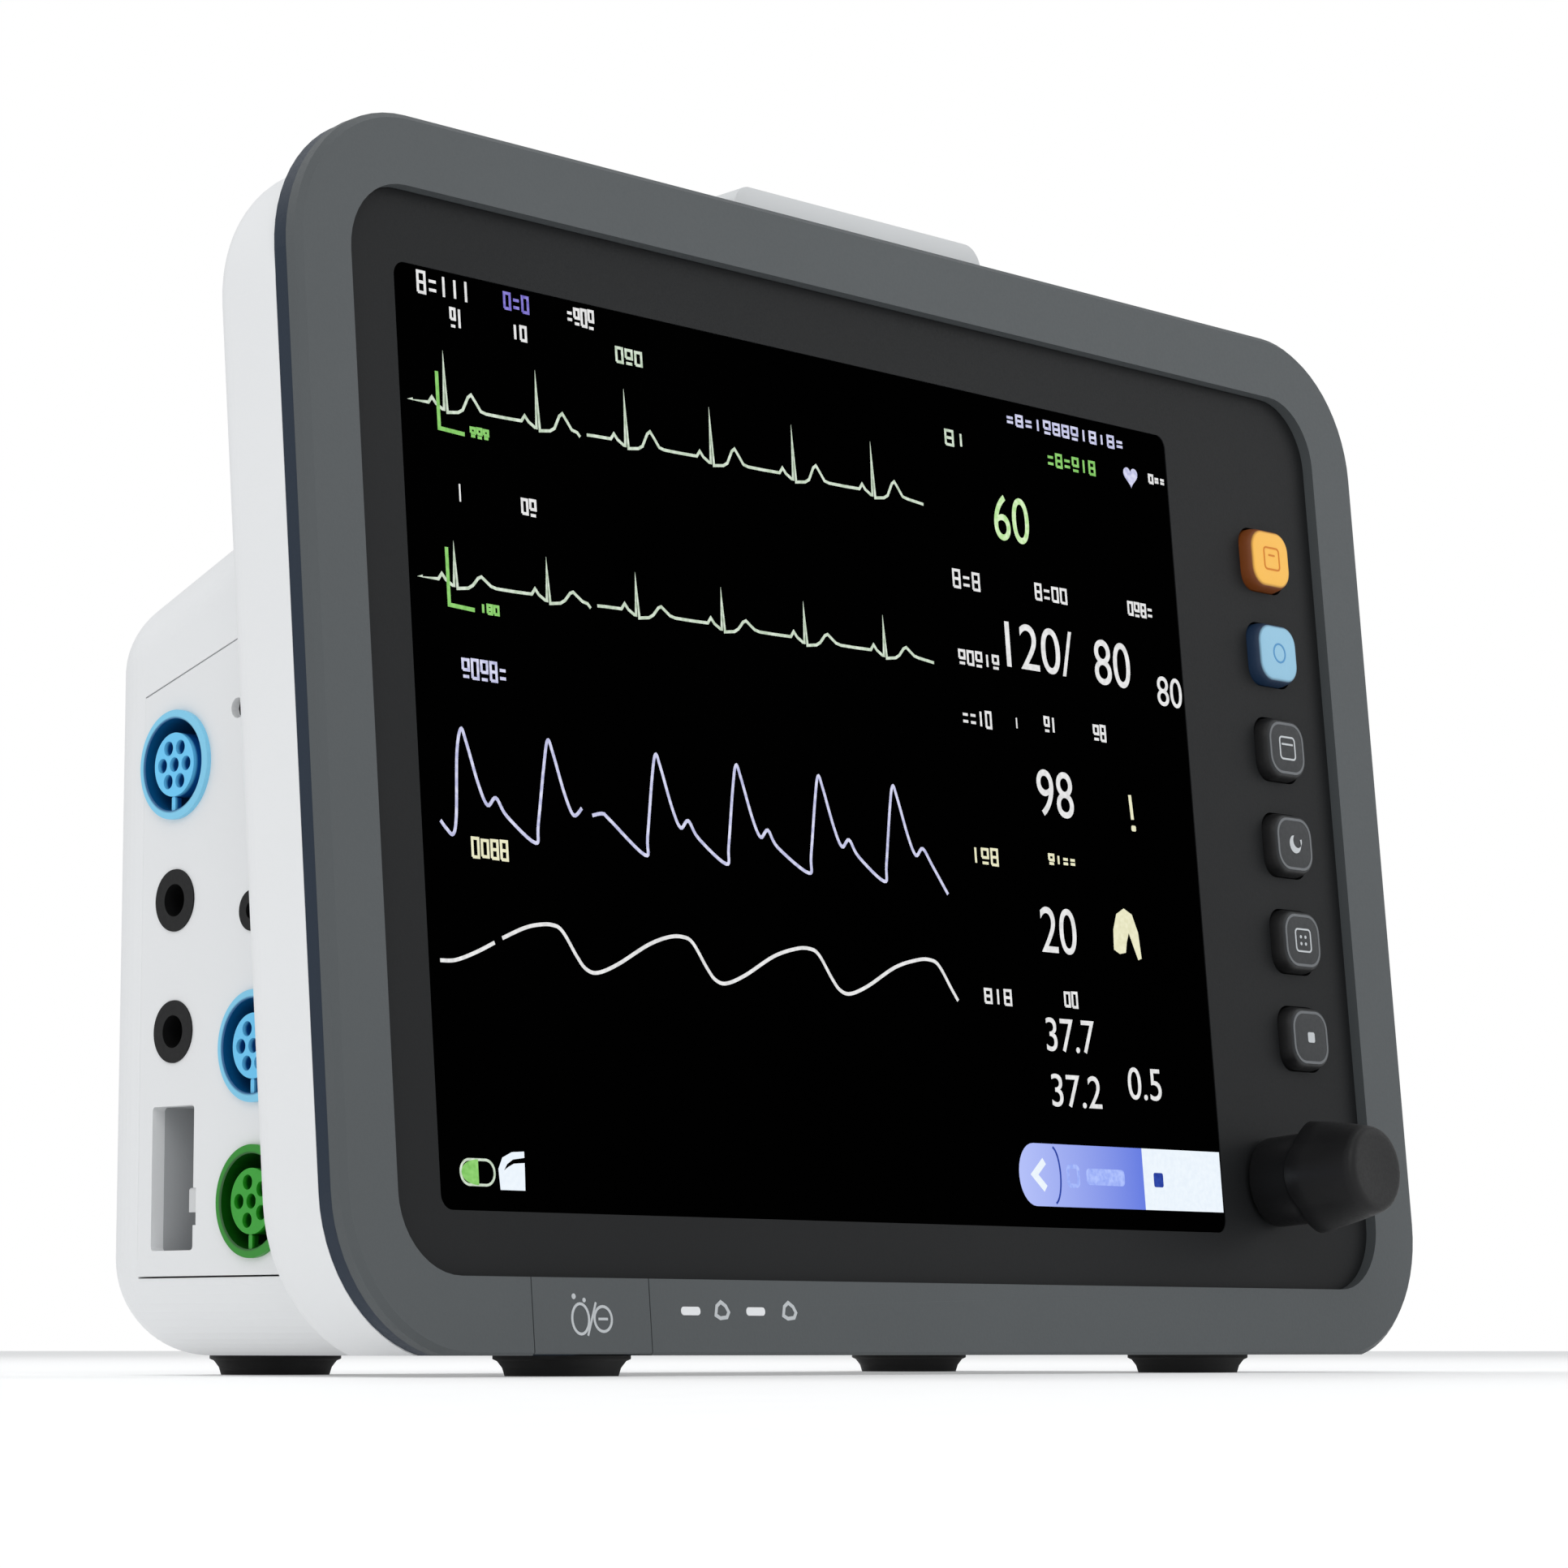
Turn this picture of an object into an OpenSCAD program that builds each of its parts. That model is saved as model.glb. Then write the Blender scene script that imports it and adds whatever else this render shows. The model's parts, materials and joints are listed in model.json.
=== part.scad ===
// Bedside patient monitor: a leaning front with a 12.1-inch screen, a deeper
// rear housing, side sockets, keys, a push knob and a folding carry handle.
// Origin: on the table under the middle of the whole object. X is its width,
// -Y is its front and +Z is up.

/* [Front] */
// Width of the bezel
bezel_w = 343.8; // [338:0.1:350]
// Height of the bezel along its face
bezel_h = 242; // [241:0.5:244]
// Corner radius of the bezel
bezel_r = 31; // [26:1:34]
// Angle at which the face leans back
lean = 4.87; // [3:0.01:7]
// Thickness of the bezel
bezel_t = 3.6; // [3.4:0.1:4]
// Bevel round the bezel's front edge
bezel_bevel = 1.2; // [0.6:0.1:1.5]
// Left edge of the bezel's opening
open_left = -158.3; // [-160:0.1:-156]
// Right edge of the bezel's opening
open_right = 155.8; // [154:0.1:157]
// Lower edge of the bezel's opening
open_low = 15.5; // [15:0.1:17]
// Upper edge of the bezel's opening
open_high = 227.2; // [225:0.1:228]
// Corner radius of the bezel's opening
open_r = 15.5; // [14:0.5:22]
// Depth at which the front panel lies behind the bezel's face
panel_recess = 2.6; // [2:0.1:3]
// Thickness of the dark trim band
band_t = 3.6; // [3:0.1:4]
// Depth of the front casing's back, from the bezel's face
casing_back = 26; // [24:0.5:27]
// Rounding of the front casing's rear edge
casing_round = 6; // [4:0.5:8]
// Distance by which the casing's top lies under the bezel's top
casing_drop = 6.8; // [5:0.1:8]

/* [Screen] */
// Width of the visible screen, a 12.1-inch 4:3 panel
screen_w = 245.8; // [240:0.1:248]
// Height of the visible screen
screen_h = 184.4; // [180:0.1:186]
// Middle of the screen, from the middle of the bezel
screen_x = -21.9; // [-24:0.1:-20]
// Lower edge of the screen above the bezel's lower edge
screen_low = 28.1; // [27:0.1:30]

/* [Keys and knob] */
// Middle of the key column, from the middle of the bezel
key_x = 135.2; // [132:0.1:136]
// Height of the lowest key's middle on the face
key_low = 73.6; // [71:0.1:75]
// Distance from one key to the next
key_pitch = 22.7; // [21:0.1:23]
// Width of a key
key_w = 16; // [14:0.5:17]
// Height of a key
key_h = 14.8; // [14:0.1:16.5]
// Travel of a key
key_travel = 1.2; // [0.8:0.1:1.3]
// Middle of the knob, from the middle of the bezel
knob_x = 119.3; // [118:0.1:125]
// Height of the knob's middle on the face
knob_v = 39.8; // [38:0.1:42]
// Radius over the knob's lobes
knob_r = 13; // [12:0.5:14]
// Radius of the knob's front end
knob_end_r = 9.6; // [9:0.1:10.5]
// Distance from the bezel's face to the knob's front
knob_front = 27; // [24:0.5:28]

/* [Rear housing] */
// Height of the flat underside above the table
body_bottom = 4; // [4:0.5:5]
// Distance from the bezel's face to the back of the housing
housing_back = 120; // [118:1:124]
// Slope of the housing's top
top_slope = 21.3; // [18:0.1:23]
// Height of the sloping top 61 mm behind the face
top_z = 163.5; // [160:0.1:166]
// Rounding of the housing's upper edges
edge_r = 15; // [14:0.5:17]
// Rounding of the housing's lower edges
foot_edge_r = 19; // [16:0.5:19.5]
// Wall thickness of the housing
wall = 3; // [2.5:0.1:3.5]

/* [Side sockets] */
// Distance of the rear row of sockets behind the face
row_rear = 68.6; // [68:0.1:68.8]
// Distance of the front row of sockets behind the face
row_front = 42.3; // [41:0.1:43]
// Radius of a round socket's flange
socket_r = 10.8; // [10.4:0.1:11.2]

/* [Feet and handle] */
// Distance of each foot from the middle
foot_x = 100.9; // [98:0.1:103]
// Distance of the front feet behind the face
foot_front = 16.3; // [15:0.1:18]
// Distance of the rear feet behind the face
foot_rear = 98.7; // [96:0.1:100]
// Radius of a foot where it meets the body
foot_r = 13.5; // [12:0.5:14]
// Width of the carry handle
handle_w = 132; // [120:1:140]
// Length of the carry handle's arms
handle_l = 56; // [50:1:58]
// Distance of the handle's pivot behind the face
handle_y = 60; // [58:1:62]

/* [Hidden] */
$fn = 64;
eps = 0.05;
gap = 0.15;
face_z = body_bottom - 0.6;
stud_length = 9;
origin_y = (housing_back + stud_length + (knob_v - knob_end_r) * sin(lean)
    - knob_front * cos(lean)) / 2;
panel_back = panel_recess + 1.8;
casing_front = bezel_t + band_t;
casing_w = bezel_w - 0.4;
casing_h = bezel_h - casing_drop;
key_front = -0.5;
key_heights = [for (i = [5:-1:0]) key_low + i * key_pitch];
key_colours = ["orange", "skyblue", "#33363a", "#33363a", "#33363a", "#33363a"];
screen_right = screen_x + screen_w / 2;
power_left = -124.8;
power_right = -92.1;
lens_x = [-80.6, -61.6];
lens_v = 9.3;
lamp_x = 4.5;
lamp_w = 82;
lamp_top = 249.6;
lamp_d = [9, 22];
// rear housing: middles of the corner columns, as [x, y]
columns = [[141, 5], [135.4, 78.1], [116.4, 100]];
column_r = 20;
wall_taper = 4.37;
wall_x = -161.43;
panel_shape = [[27.8, 18.9], [79.4, 18.9], [79.4, 133.5], [38.8, 145.6]];
panel_t = 3;
ecg_z = 119.1;
jack_z = [92.4, 66.7];
jack_r = 6.1;
spo2_z = 62.8;
pressure_z = 33.2;
air_port = [41.2, 107.9];
air_port_r = 4.6;
small_jack = [43.9, 88.9];
small_jack_r = 4;
latch_screw = [49.5, 128.6];
trap = [68.3, 38.2];
trap_w = 13.4;
trap_h = 28;
door_shape = [38, 78, 26, 124];
inlet = [88, 40];
ports = [-2, 34];
speaker_at = [-70, 62];
stud_at = [110, 16];
insert_z = 76;
insert_pitch = 75;
switch_top = 8.4;
board_front = 11.2;
casing_screw_places = [for (x = [-140:70:140]) [x, 211]];
standoff_places = [for (x = [-20, 80], v = [70, 140]) [x, v]];
jack_places = [for (z = jack_z) [row_rear, z]];
handle_lift = 6.2;
handle_pivot_z = top_z + handle_lift - (handle_y - 61) * tan(top_slope);
door_axis = [75.6, 1.9];

// ---- frames -------------------------------------------------------------
// The whole object, moved so that the origin is under its middle.
module placed() {
    translate([0, -origin_y, 0]) children();
}

// Face frame: x to the right, y up the leaning face, z into the object.
module on_face() {
    translate([0, 0, face_z]) rotate([-lean, 0, 0]) mirror([0, 1, 0]) rotate([90, 0, 0]) children();
}

// Left wall frame: x to the rear along the wall, y up, z into the object.
module on_wall() {
    translate([wall_x, 0, 0]) rotate([0, 0, 90 - wall_taper]) rotate([90, 0, 0]) children();
}

// Right wall frame, the mirror image of the left one.
module on_right_wall() {
    mirror([1, 0, 0]) on_wall() children();
}

// Back frame: x to the right as seen from the front, y up, z into the object.
module on_back() {
    translate([0, housing_back, 0]) rotate([90, 0, 0]) children();
}

// Handle frame: origin on the pivot axis, y down the sloping top.
module on_slope() {
    translate([0, handle_y, handle_pivot_z]) rotate([-top_slope, 0, 0]) children();
}

// Cuts away whatever lies under the flat underside.
module trimmed(lift = 0) {
    difference() {
        children();
        translate([-200, -20, body_bottom + lift - 20]) cube([400, 80, 20]);
    }
}

// ---- shapes -------------------------------------------------------------
// Rectangle with true round corners, from its left, right, lower and upper edge.
module round_rect(x0, x1, y0, y1, r) {
    translate([x0 + r, y0]) square([x1 - x0 - 2 * r, y1 - y0]);
    translate([x0, y0 + r]) square([x1 - x0, y1 - y0 - 2 * r]);
    for (x = [x0 + r, x1 - r], y = [y0 + r, y1 - r])
        translate([x, y]) circle(r);
}

module plate(x0, x1, y0, y1, r, z0, z1) {
    translate([0, 0, z0]) linear_extrude(z1 - z0) round_rect(x0, x1, y0, y1, r);
}

// Half section of a slab, with a bevel in front and a rounding behind.
module slab_section(half, t, bevel, round) {
    polygon([[0, 0], [half - bevel, 0], [half, bevel], [half, t - round], [0, t - round]]);
    if (round > 0) {
        translate([0, t - round - eps]) square([half - round, round + eps]);
        translate([half - round, t - round]) circle(round);
    }
}

module full_section(span, t, bevel, round) {
    slab_section(span / 2, t, bevel, round);
    mirror([1, 0]) slab_section(span / 2, t, bevel, round);
}

// Slab with round corners whose edges carry the same bevel and rounding.
module slab(w, h, r, t, bevel, round) {
    translate([-(w / 2 - r), h / 2, 0]) rotate([90, 0, 90])
        linear_extrude(w - 2 * r) full_section(h, t, bevel, round);
    translate([0, h - r, 0]) rotate([90, 0, 0])
        linear_extrude(h - 2 * r) full_section(w, t, bevel, round);
    for (x = [-(w / 2 - r), w / 2 - r], y = [r, h - r])
        translate([x, y, 0]) rotate_extrude() slab_section(r, t, bevel, round);
}

module rod(r, z0, z1) {
    translate([0, 0, z0]) cylinder(r = r, h = z1 - z0);
}

module block(x0, x1, y0, y1, z0, z1) {
    translate([x0, y0, z0]) cube([x1 - x0, y1 - y0, z1 - z0]);
}

// Height of the sloping top at a distance behind the face.
function slope_z(y) = top_z - (y - 61) * tan(top_slope);

// Rear housing as one smooth form; shrink gives the inside of its wall.
module housing_form(shrink, fine) {
    hull() for (c = columns, side = [-1, 1]) {
        translate([side * c[0], c[1], body_bottom + foot_edge_r])
            ring(column_r - foot_edge_r, foot_edge_r - shrink, fine);
        translate([side * c[0], c[1], slope_z(c[1]) - edge_r / cos(top_slope)])
            rotate([-top_slope, 0, 0]) ring(column_r - edge_r, edge_r - shrink, fine);
    }
}

// Disc with a fully rounded rim: major is the ring's radius, tube the rim's.
module ring(major, tube, fine) {
    rotate_extrude($fn = fine) {
        intersection() {
            translate([major, 0]) circle(tube, $fn = fine);
            translate([major, -tube]) square([tube, 2 * tube]);
        }
        translate([0, -tube]) square([major + eps, 2 * tube]);
    }
}

// ---- front --------------------------------------------------------------
module front_bezel() {
    color("dimgray") placed() trimmed() on_face() difference() {
        slab(bezel_w, bezel_h, bezel_r, bezel_t, bezel_bevel, 0);
        plate(open_left, open_right, open_low, open_high, open_r, -1, bezel_t + 1);
        block(power_left, power_right, -1, open_low + 1, -1, bezel_t + 1);
        for (x = lens_x)
            plate(x - 2.9, x + 2.9, lens_v - 0.95, lens_v + 0.95, 0.9, -1, bezel_t + 1);
    }
}

module trim_band() {
    inset = 0.3;
    color("#1b2633") placed() trimmed() on_face() difference() {
        translate([0, inset, bezel_t])
            slab(bezel_w - 2 * inset, bezel_h - 2 * inset, bezel_r - inset, band_t, 0, 0);
        plate(open_left - 5, open_right + 5, 8.5, open_high + 7, open_r, 0, 20);
        block(power_left - 1, power_right + 1, -1, 10, 0, bezel_t + 1.6);
        for (x = lens_x) block(x - 4, x + 4, 5, 10, 0, 20);
    }
}

module front_casing() {
    side = 2.5;
    color("gainsboro") placed() trimmed() on_face() difference() {
        translate([0, 0, casing_front])
            slab(casing_w, casing_h, bezel_r, casing_back - casing_front, 0, casing_round);
        translate([0, 5.4, casing_front - 5])
            slab(casing_w - 2 * side, casing_h - 5.4 - side, bezel_r - side,
                casing_back - side - casing_front + 5, 0, casing_round - side);
        // window towards the rear housing
        plate(-150, 150, 12, 152, 8, casing_front, casing_back + 1);
        plate(lamp_x - lamp_w / 2 - gap, lamp_x + lamp_w / 2 + gap,
            225, lamp_top + 4, 5 + gap, lamp_d[0] - gap, lamp_d[1] + gap);
        for (p = casing_screw_places) translate([p[0], p[1], 0]) rod(1.7, casing_front, 40);
        for (x = [-foot_x, foot_x]) translate([x, 12, foot_front]) rotate([90, 0, 0]) rod(2.5, -1, 14);
    }
}

module front_panel() {
    color("#2a2b2d") placed() on_face() difference() {
        plate(open_left + gap, open_right - gap, open_low + gap, open_high - gap,
            open_r - gap, panel_recess, panel_back);
        plate(screen_x - screen_w / 2, screen_right, screen_low, screen_low + screen_h,
            3, 0, 10);
        for (v = key_heights)
            plate(key_x - key_w / 2 - 0.25, key_x + key_w / 2 + 0.25,
                v - key_h / 2 - 0.25, v + key_h / 2 + 0.25, 4.25, 0, 10);
        translate([knob_x, knob_v, 0]) rod(4.6, 0, 10);
    }
}

module display_glass() {
    color("black") placed() on_face()
        plate(screen_x - screen_w / 2 + 0.1, screen_right - 0.1, screen_low + 0.1,
            screen_low + screen_h - 0.1, 2.9, panel_recess + 0.2, panel_back);
}

module display_module() {
    color("silver") placed() on_face()
        plate(screen_x - 130.5, screen_x + 130.5, screen_low - 7.3, screen_low + screen_h + 7.3,
            2, panel_back + 0.1, 11.8);
}

module display_bracket() {
    color("lightsteelblue") placed() on_face() difference() {
        plate(screen_x - 136, screen_x + 136, 18, 223, 6, 12, 13.2);
        plate(screen_x - 108, screen_x + 108, 42, 198, 10, 5, 15);
        block(knob_x - 8, knob_x + 8, knob_v - 7.5, knob_v + 7.5, 5, 15);
        for (x = [screen_x - 132.8, screen_x + 132.8], v = [30, 211])
            translate([x, v, 0]) rod(1.7, 5, 15);
    }
}

// ---- keys ---------------------------------------------------------------
module front_key(i) {
    v = key_heights[i];
    color(key_colours[i]) placed() on_face() translate([key_x, v, 0]) {
        plate(-key_w / 2, key_w / 2, -key_h / 2, key_h / 2, 4, key_front + 0.8, panel_back + 0.2);
        plate(-key_w / 2 + 0.7, key_w / 2 - 0.7, -key_h / 2 + 0.7, key_h / 2 - 0.7,
            3.3, key_front, key_front + 0.8 + eps);
        plate(-key_w / 2 - 1.2, key_w / 2 + 1.2, -key_h / 2 - 1.2, key_h / 2 + 1.2,
            4.5, panel_back + 0.1, panel_back + 1.2);
        rod(2, panel_back + 1, switch_top - key_travel - 0.1);
    }
}

module key_switches() {
    color("#26282b") placed() on_face() for (v = key_heights) translate([key_x, v, 0]) {
        rod(1.7, switch_top, switch_top + 1);
        block(-3, 3, -3, 3, switch_top + 0.9, board_front);
    }
}

module key_board() {
    color("darkgreen") placed() on_face() difference() {
        plate(key_x - 12, key_x + 14, 60, 204, 2, board_front, board_front + 1.6);
        for (v = [66, 198]) translate([key_x + 10, v, 0]) rod(1.6, 5, 20);
    }
}

module power_key() {
    color("dimgray") placed() trimmed(0.25) on_face() {
        intersection() {
            slab(bezel_w, bezel_h, bezel_r, bezel_t - 0.2, bezel_bevel, 0);
            block(power_left + 0.25, power_right - 0.25, -1, open_low, -1, bezel_t);
        }
        translate([(power_left + power_right) / 2, 11.2, 0]) rod(2, bezel_t - 0.4, 6);
    }
}

module power_switch() {
    color("#26282b") placed() on_face() translate([(power_left + power_right) / 2, 11.2, 0]) {
        rod(1.7, 7.3, 8.3);
        block(-3, 3, -3, 3, 8.2, 10.6);
        block(-9, 9, -4.6, 4.6, 10.5, 12);
    }
}

module indicator_lenses() {
    color("white") placed() on_face() for (x = lens_x) {
        plate(x - 2.8, x + 2.8, lens_v - 0.85, lens_v + 0.85, 0.8, 0.05, bezel_t);
        plate(x - 3.4, x + 3.4, lens_v - 1.6, lens_v + 0.7, 0.6, bezel_t, bezel_t + 2);
    }
}

// ---- knob and encoder ---------------------------------------------------
// Tapered grip with four shallow finger grooves, widest at its back.
module knob_grip(length) {
    difference() {
        translate([0, 0, -knob_front]) cylinder(r1 = knob_end_r, r2 = knob_r, h = length);
        for (a = [45:90:315]) rotate(a) translate([knob_r + 6.4, 0, 0])
            rod(9, -knob_front - 1, -knob_front + length + 1);
    }
}

module knob_cap() {
    grip = 17.5;
    color("#202224") placed() on_face() translate([knob_x, knob_v, 0]) difference() {
        union() {
            knob_grip(grip);
            rod(10.2, -knob_front + grip - eps, panel_recess - 1.2);
        }
        rod(9, -6, 10);
        rod(3.02, -knob_front + 4, 10);
    }
}

module encoder_shaft() {
    color("silver") placed() on_face() translate([knob_x, knob_v, 0])
        rod(3, -knob_front + 4.2, 9.5);
}

module encoder_body() {
    color("#1d4f3f") placed() on_face() translate([knob_x, knob_v, 0]) difference() {
        union() {
            rod(4.5, -4, 7);
            block(-7, 7, -7, 7, 6, 14);
        }
        rod(3.05, -5, 9);
        rod(4, 9, 12.6);
    }
}

module encoder_plunger() {
    color("silver") placed() on_face() translate([knob_x, knob_v, 0]) rod(3.7, 9.5 + 0.05, 11);
}

module encoder_nut() {
    color("silver") placed() on_face() translate([knob_x, knob_v, 0]) difference() {
        translate([0, 0, 0.6]) cylinder(r = 7, h = 2, $fn = 6);
        rod(4.55, 0, 3);
    }
}

// ---- alarm lamp ---------------------------------------------------------
module alarm_lamp() {
    color("#c9ccce") placed() on_face() difference() {
        plate(lamp_x - lamp_w / 2, lamp_x + lamp_w / 2, casing_h - 4, lamp_top, 5, lamp_d[0], lamp_d[1]);
        plate(lamp_x - lamp_w / 2 + 2, lamp_x + lamp_w / 2 - 2, 220, lamp_top - 2, 4,
            lamp_d[0] + 2, lamp_d[1] - 2);
    }
}

module alarm_led_board() {
    color("darkgreen") placed() on_face() {
        block(lamp_x - 36, lamp_x + 36, casing_h - 6, casing_h - 4.4, lamp_d[0] + 1, lamp_d[1] - 1);
        for (i = [-3:3]) block(lamp_x + i * 10 - 1.5, lamp_x + i * 10 + 1.5,
            casing_h - 4.5, casing_h - 2.5, 14, 17);
    }
}

// ---- inside -------------------------------------------------------------
module chassis_plate() {
    color("lightsteelblue") placed() on_face() difference() {
        plate(-154, 154, 20, 200, 6, 19.6, 21);
        plate(-70, -30, 60, 110, 4, 15, 25);
        plate(100, 146, 30, 60, 4, 15, 25);
        for (p = standoff_places) translate([p[0], p[1], 0]) rod(1.6, 15, 25);
    }
}

module board_standoffs() {
    color("goldenrod") placed() on_face() for (p = standoff_places) translate([p[0], p[1], 0])
        rod(2.8, 21, 28);
}

module main_board() {
    color("darkgreen") placed() on_face() {
        plate(-28, 88, 62, 148, 3, 28, 29.6);
        block(0, 28, 90, 118, 29.5, 34);
        block(45, 75, 80, 92, 29.5, 36);
        block(45, 75, 110, 118, 29.5, 33);
    }
}

module parameter_board() {
    color("darkgreen") placed() on_wall() {
        block(34, 76, 24, 128, 20.2, 21.8);
        block(40, 70, 36, 60, 21.7, 27);
        block(40, 60, 80, 100, 21.7, 25);
    }
}

module cuff_pump() {
    color("darkgray") placed() translate([-112, 78, 26]) rotate([0, 90, 0]) {
        rod(14, 0, 34);
        rod(16, 34 - eps, 52);
        rod(2.4, 52 - eps, 58);
    }
}

module power_supply() {
    color("peru") placed() {
        block(12, 116, 44, 92, 12, 13.6);
        block(20, 48, 52, 84, 13.5, 36);
        block(58, 74, 50, 66, 13.5, 40);
        block(84, 110, 52, 80, 13.5, 30);
        for (x = [60, 72]) translate([x, 78, 0]) rod(4.5, 13.5, 34);
    }
}

module battery() {
    color("#3c4043") placed() on_right_wall()
        plate(door_shape[0] + 3, door_shape[1] - 4, 30, 120, 3, 6, 27);
}

module speaker() {
    color("#2b2b2b") placed() on_back() translate([speaker_at[0], speaker_at[1], 0]) {
        rod(19, wall + 0.3, wall + 5);
        rod(12, wall + 4.9, wall + 14);
    }
}

// ---- rear housing -------------------------------------------------------
module front_cut() {
    on_face() translate([-250, -100, casing_back - 150]) cube([500, 450, 150]);
}

module housing_shell() {
    difference() {
        union() {
            housing_form(0, 64);
            for (x = [-foot_x, foot_x]) translate([x, foot_rear, 0]) rod(foot_r, body_bottom, 12);
        }
        difference() {
            housing_form(wall, 32);
            for (x = [-foot_x, foot_x]) translate([x, foot_rear, 0]) rod(6, 0, 14);
            for (x = [-1, 1], z = [-1, 1])
                on_back() translate([x * insert_pitch / 2, insert_z + z * insert_pitch / 2, 0])
                    rod(6, 0, 12);
        }
        front_cut();
    }
}

module handle_lugs() {
    on_slope() for (side = [-1, 1]) {
        x = side * (handle_w / 2 + 4.6);
        translate([x - 4, 0, 0]) rotate([0, 90, 0]) rod(7, 0, 8);
        block(x - 4, x + 4, -7, 7, -13, 0);
    }
}

module rear_housing() {
    color("gainsboro") placed() difference() {
        union() {
            housing_shell();
            handle_lugs();
        }
        on_slope() translate([-90, 0, 0]) rotate([0, 90, 0]) rod(3, 0, 180);
        on_wall() translate([0, 0, -2]) linear_extrude(12) polygon(panel_shape);
        on_right_wall() {
            plate(door_shape[0], door_shape[1], door_shape[2], door_shape[3], 3, -2, 2.2);
            block(door_shape[1] - 4, door_shape[1], door_shape[2], door_shape[3], -2, 2.2);
            plate(door_shape[0] + 2, door_shape[1] - 3, door_shape[2] + 3, door_shape[3] - 3, 2, 0, 12);
        }
        on_door_axis() {
            rod(1.5, door_shape[2], door_shape[3]);
            rod(0.8, door_shape[2] - 4, door_shape[3] + 4);
        }
        for (x = [-foot_x, foot_x]) translate([x, foot_rear, 0]) rod(2.5, 0, 13);
        on_back() {
            block(inlet[0] - 13.7, inlet[0] + 13.7, inlet[1] - 10.2, inlet[1] + 10.2, -1, 8);
            plate(ports[0] - 26, ports[0] + 26, ports[1] - 10, ports[1] + 10, 2, -1, 8);
            translate([stud_at[0], stud_at[1], 0]) rod(3.1, -1, 8);
            for (x = [-1, 1], z = [-1, 1])
                translate([x * insert_pitch / 2, insert_z + z * insert_pitch / 2, 0]) rod(3, -1, 9);
            speaker_grille();
            vents();
        }
    }
}

module speaker_grille() {
    for (ring = [0:2], a = [0:ring == 0 ? 360 : 60 / ring:359])
        translate([speaker_at[0] + ring * 5 * cos(a), speaker_at[1] + ring * 5 * sin(a), 0])
            rod(1.3, -1, wall + 1);
}

module vents() {
    for (i = [-5:5]) plate(i * 7 - 1.4, i * 7 + 1.4, 122, 132, 1.3, -1, 12);
}

// ---- side panel and sockets --------------------------------------------
module side_panel() {
    color("gainsboro") placed() on_wall() difference() {
        linear_extrude(panel_t) panel_outline();
        for (p = [[row_rear, ecg_z], [row_front, spo2_z], [row_front, pressure_z]])
            translate([p[0], p[1], 0]) rod(10, -1, 5);
        for (p = jack_places) translate([p[0], p[1], 0]) rod(jack_r + 0.05, -1, 5);
        translate([small_jack[0], small_jack[1], 0]) rod(small_jack_r + 0.05, -1, 5);
        translate([air_port[0], air_port[1], 0]) rod(air_port_r + 0.05, -1, 5);
        translate([latch_screw[0], latch_screw[1], 0]) rod(2, -1, 1.8);
        translate([trap[0], trap[1], 0]) {
            plate(-trap_w / 2, trap_w / 2, -trap_h / 2, trap_h / 2, 0.8, -1, 5);
            block(-trap_w / 2 - 0.9, 0, -9.2, -2, -1, 5);
        }
    }
}

// Outline of the side panel, with an open seam above and below.
module panel_outline() {
    seam = 0.35;
    fit = 0.05;
    s = panel_shape;
    polygon([[s[0][0] + fit, s[0][1] + seam], [s[1][0] - fit, s[1][1] + seam],
        [s[2][0] - fit, s[2][1] - seam], [s[3][0] + fit, s[3][1] - seam]]);
}

// Shell of a round socket: flange, barrel and floor round an open groove.
module socket_shell(p) {
    translate([p[0], p[1], 0]) {
        difference() {
            union() {
                rod(socket_r, -1, 0);
                rod(9.95, -eps, 14);
            }
            rod(9.1, -2, 11);
            rod(3, 10, 15);
        }
        block(-0.6, 0.6, -9.3, -8.2, 1, 11.1);
    }
}

// Insert of a round socket, with its contact pins.
module socket_insert(p, pins) {
    translate([p[0], p[1], 0]) {
        difference() {
            rod(6.3, -0.8, 11);
            for (i = [0:pins - 1]) rotate(i * 360 / pins) translate([3.8, 0, 0]) rod(1.45, -1, 6);
            rod(1.45, -1, 6);
        }
        rod(2.9, 10.9, 16);
        for (i = [0:pins - 1]) rotate(i * 360 / pins) translate([3.8, 0, 0]) rod(0.5, 0.6, 6.1);
        rod(0.5, 0.6, 6.1);
    }
}

module ecg_socket() {
    color("deepskyblue") placed() on_wall() socket_shell([row_rear, ecg_z]);
}

module ecg_insert() {
    color("lightblue") placed() on_wall() socket_insert([row_rear, ecg_z], 6);
}

module spo2_socket() {
    color("deepskyblue") placed() on_wall() socket_shell([row_front, spo2_z]);
}

module spo2_insert() {
    color("lightblue") placed() on_wall() socket_insert([row_front, spo2_z], 6);
}

module pressure_socket() {
    color("green") placed() on_wall() socket_shell([row_front, pressure_z]);
}

module pressure_insert() {
    color("limegreen") placed() on_wall() socket_insert([row_front, pressure_z], 5);
}

module jack(p, r, bore, length) {
    translate([p[0], p[1], 0]) difference() {
        union() {
            rod(r, -0.3, 3);
            rod(r - 1, 3 - eps, length + 3);
        }
        rod(bore, -1, length);
    }
}

module probe_jacks() {
    color("#2b2c2e") placed() on_wall() {
        for (p = jack_places) jack(p, jack_r, 3.2, 16);
        jack(small_jack, small_jack_r, 1.8, 14);
    }
}

module cuff_port() {
    color("silver") placed() on_wall() translate([air_port[0], air_port[1], 0]) difference() {
        union() {
            rod(air_port_r, -0.2, 3);
            rod(4.2, 3 - eps, 14);
        }
        rod(2.1, -1, 12);
    }
}

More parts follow.
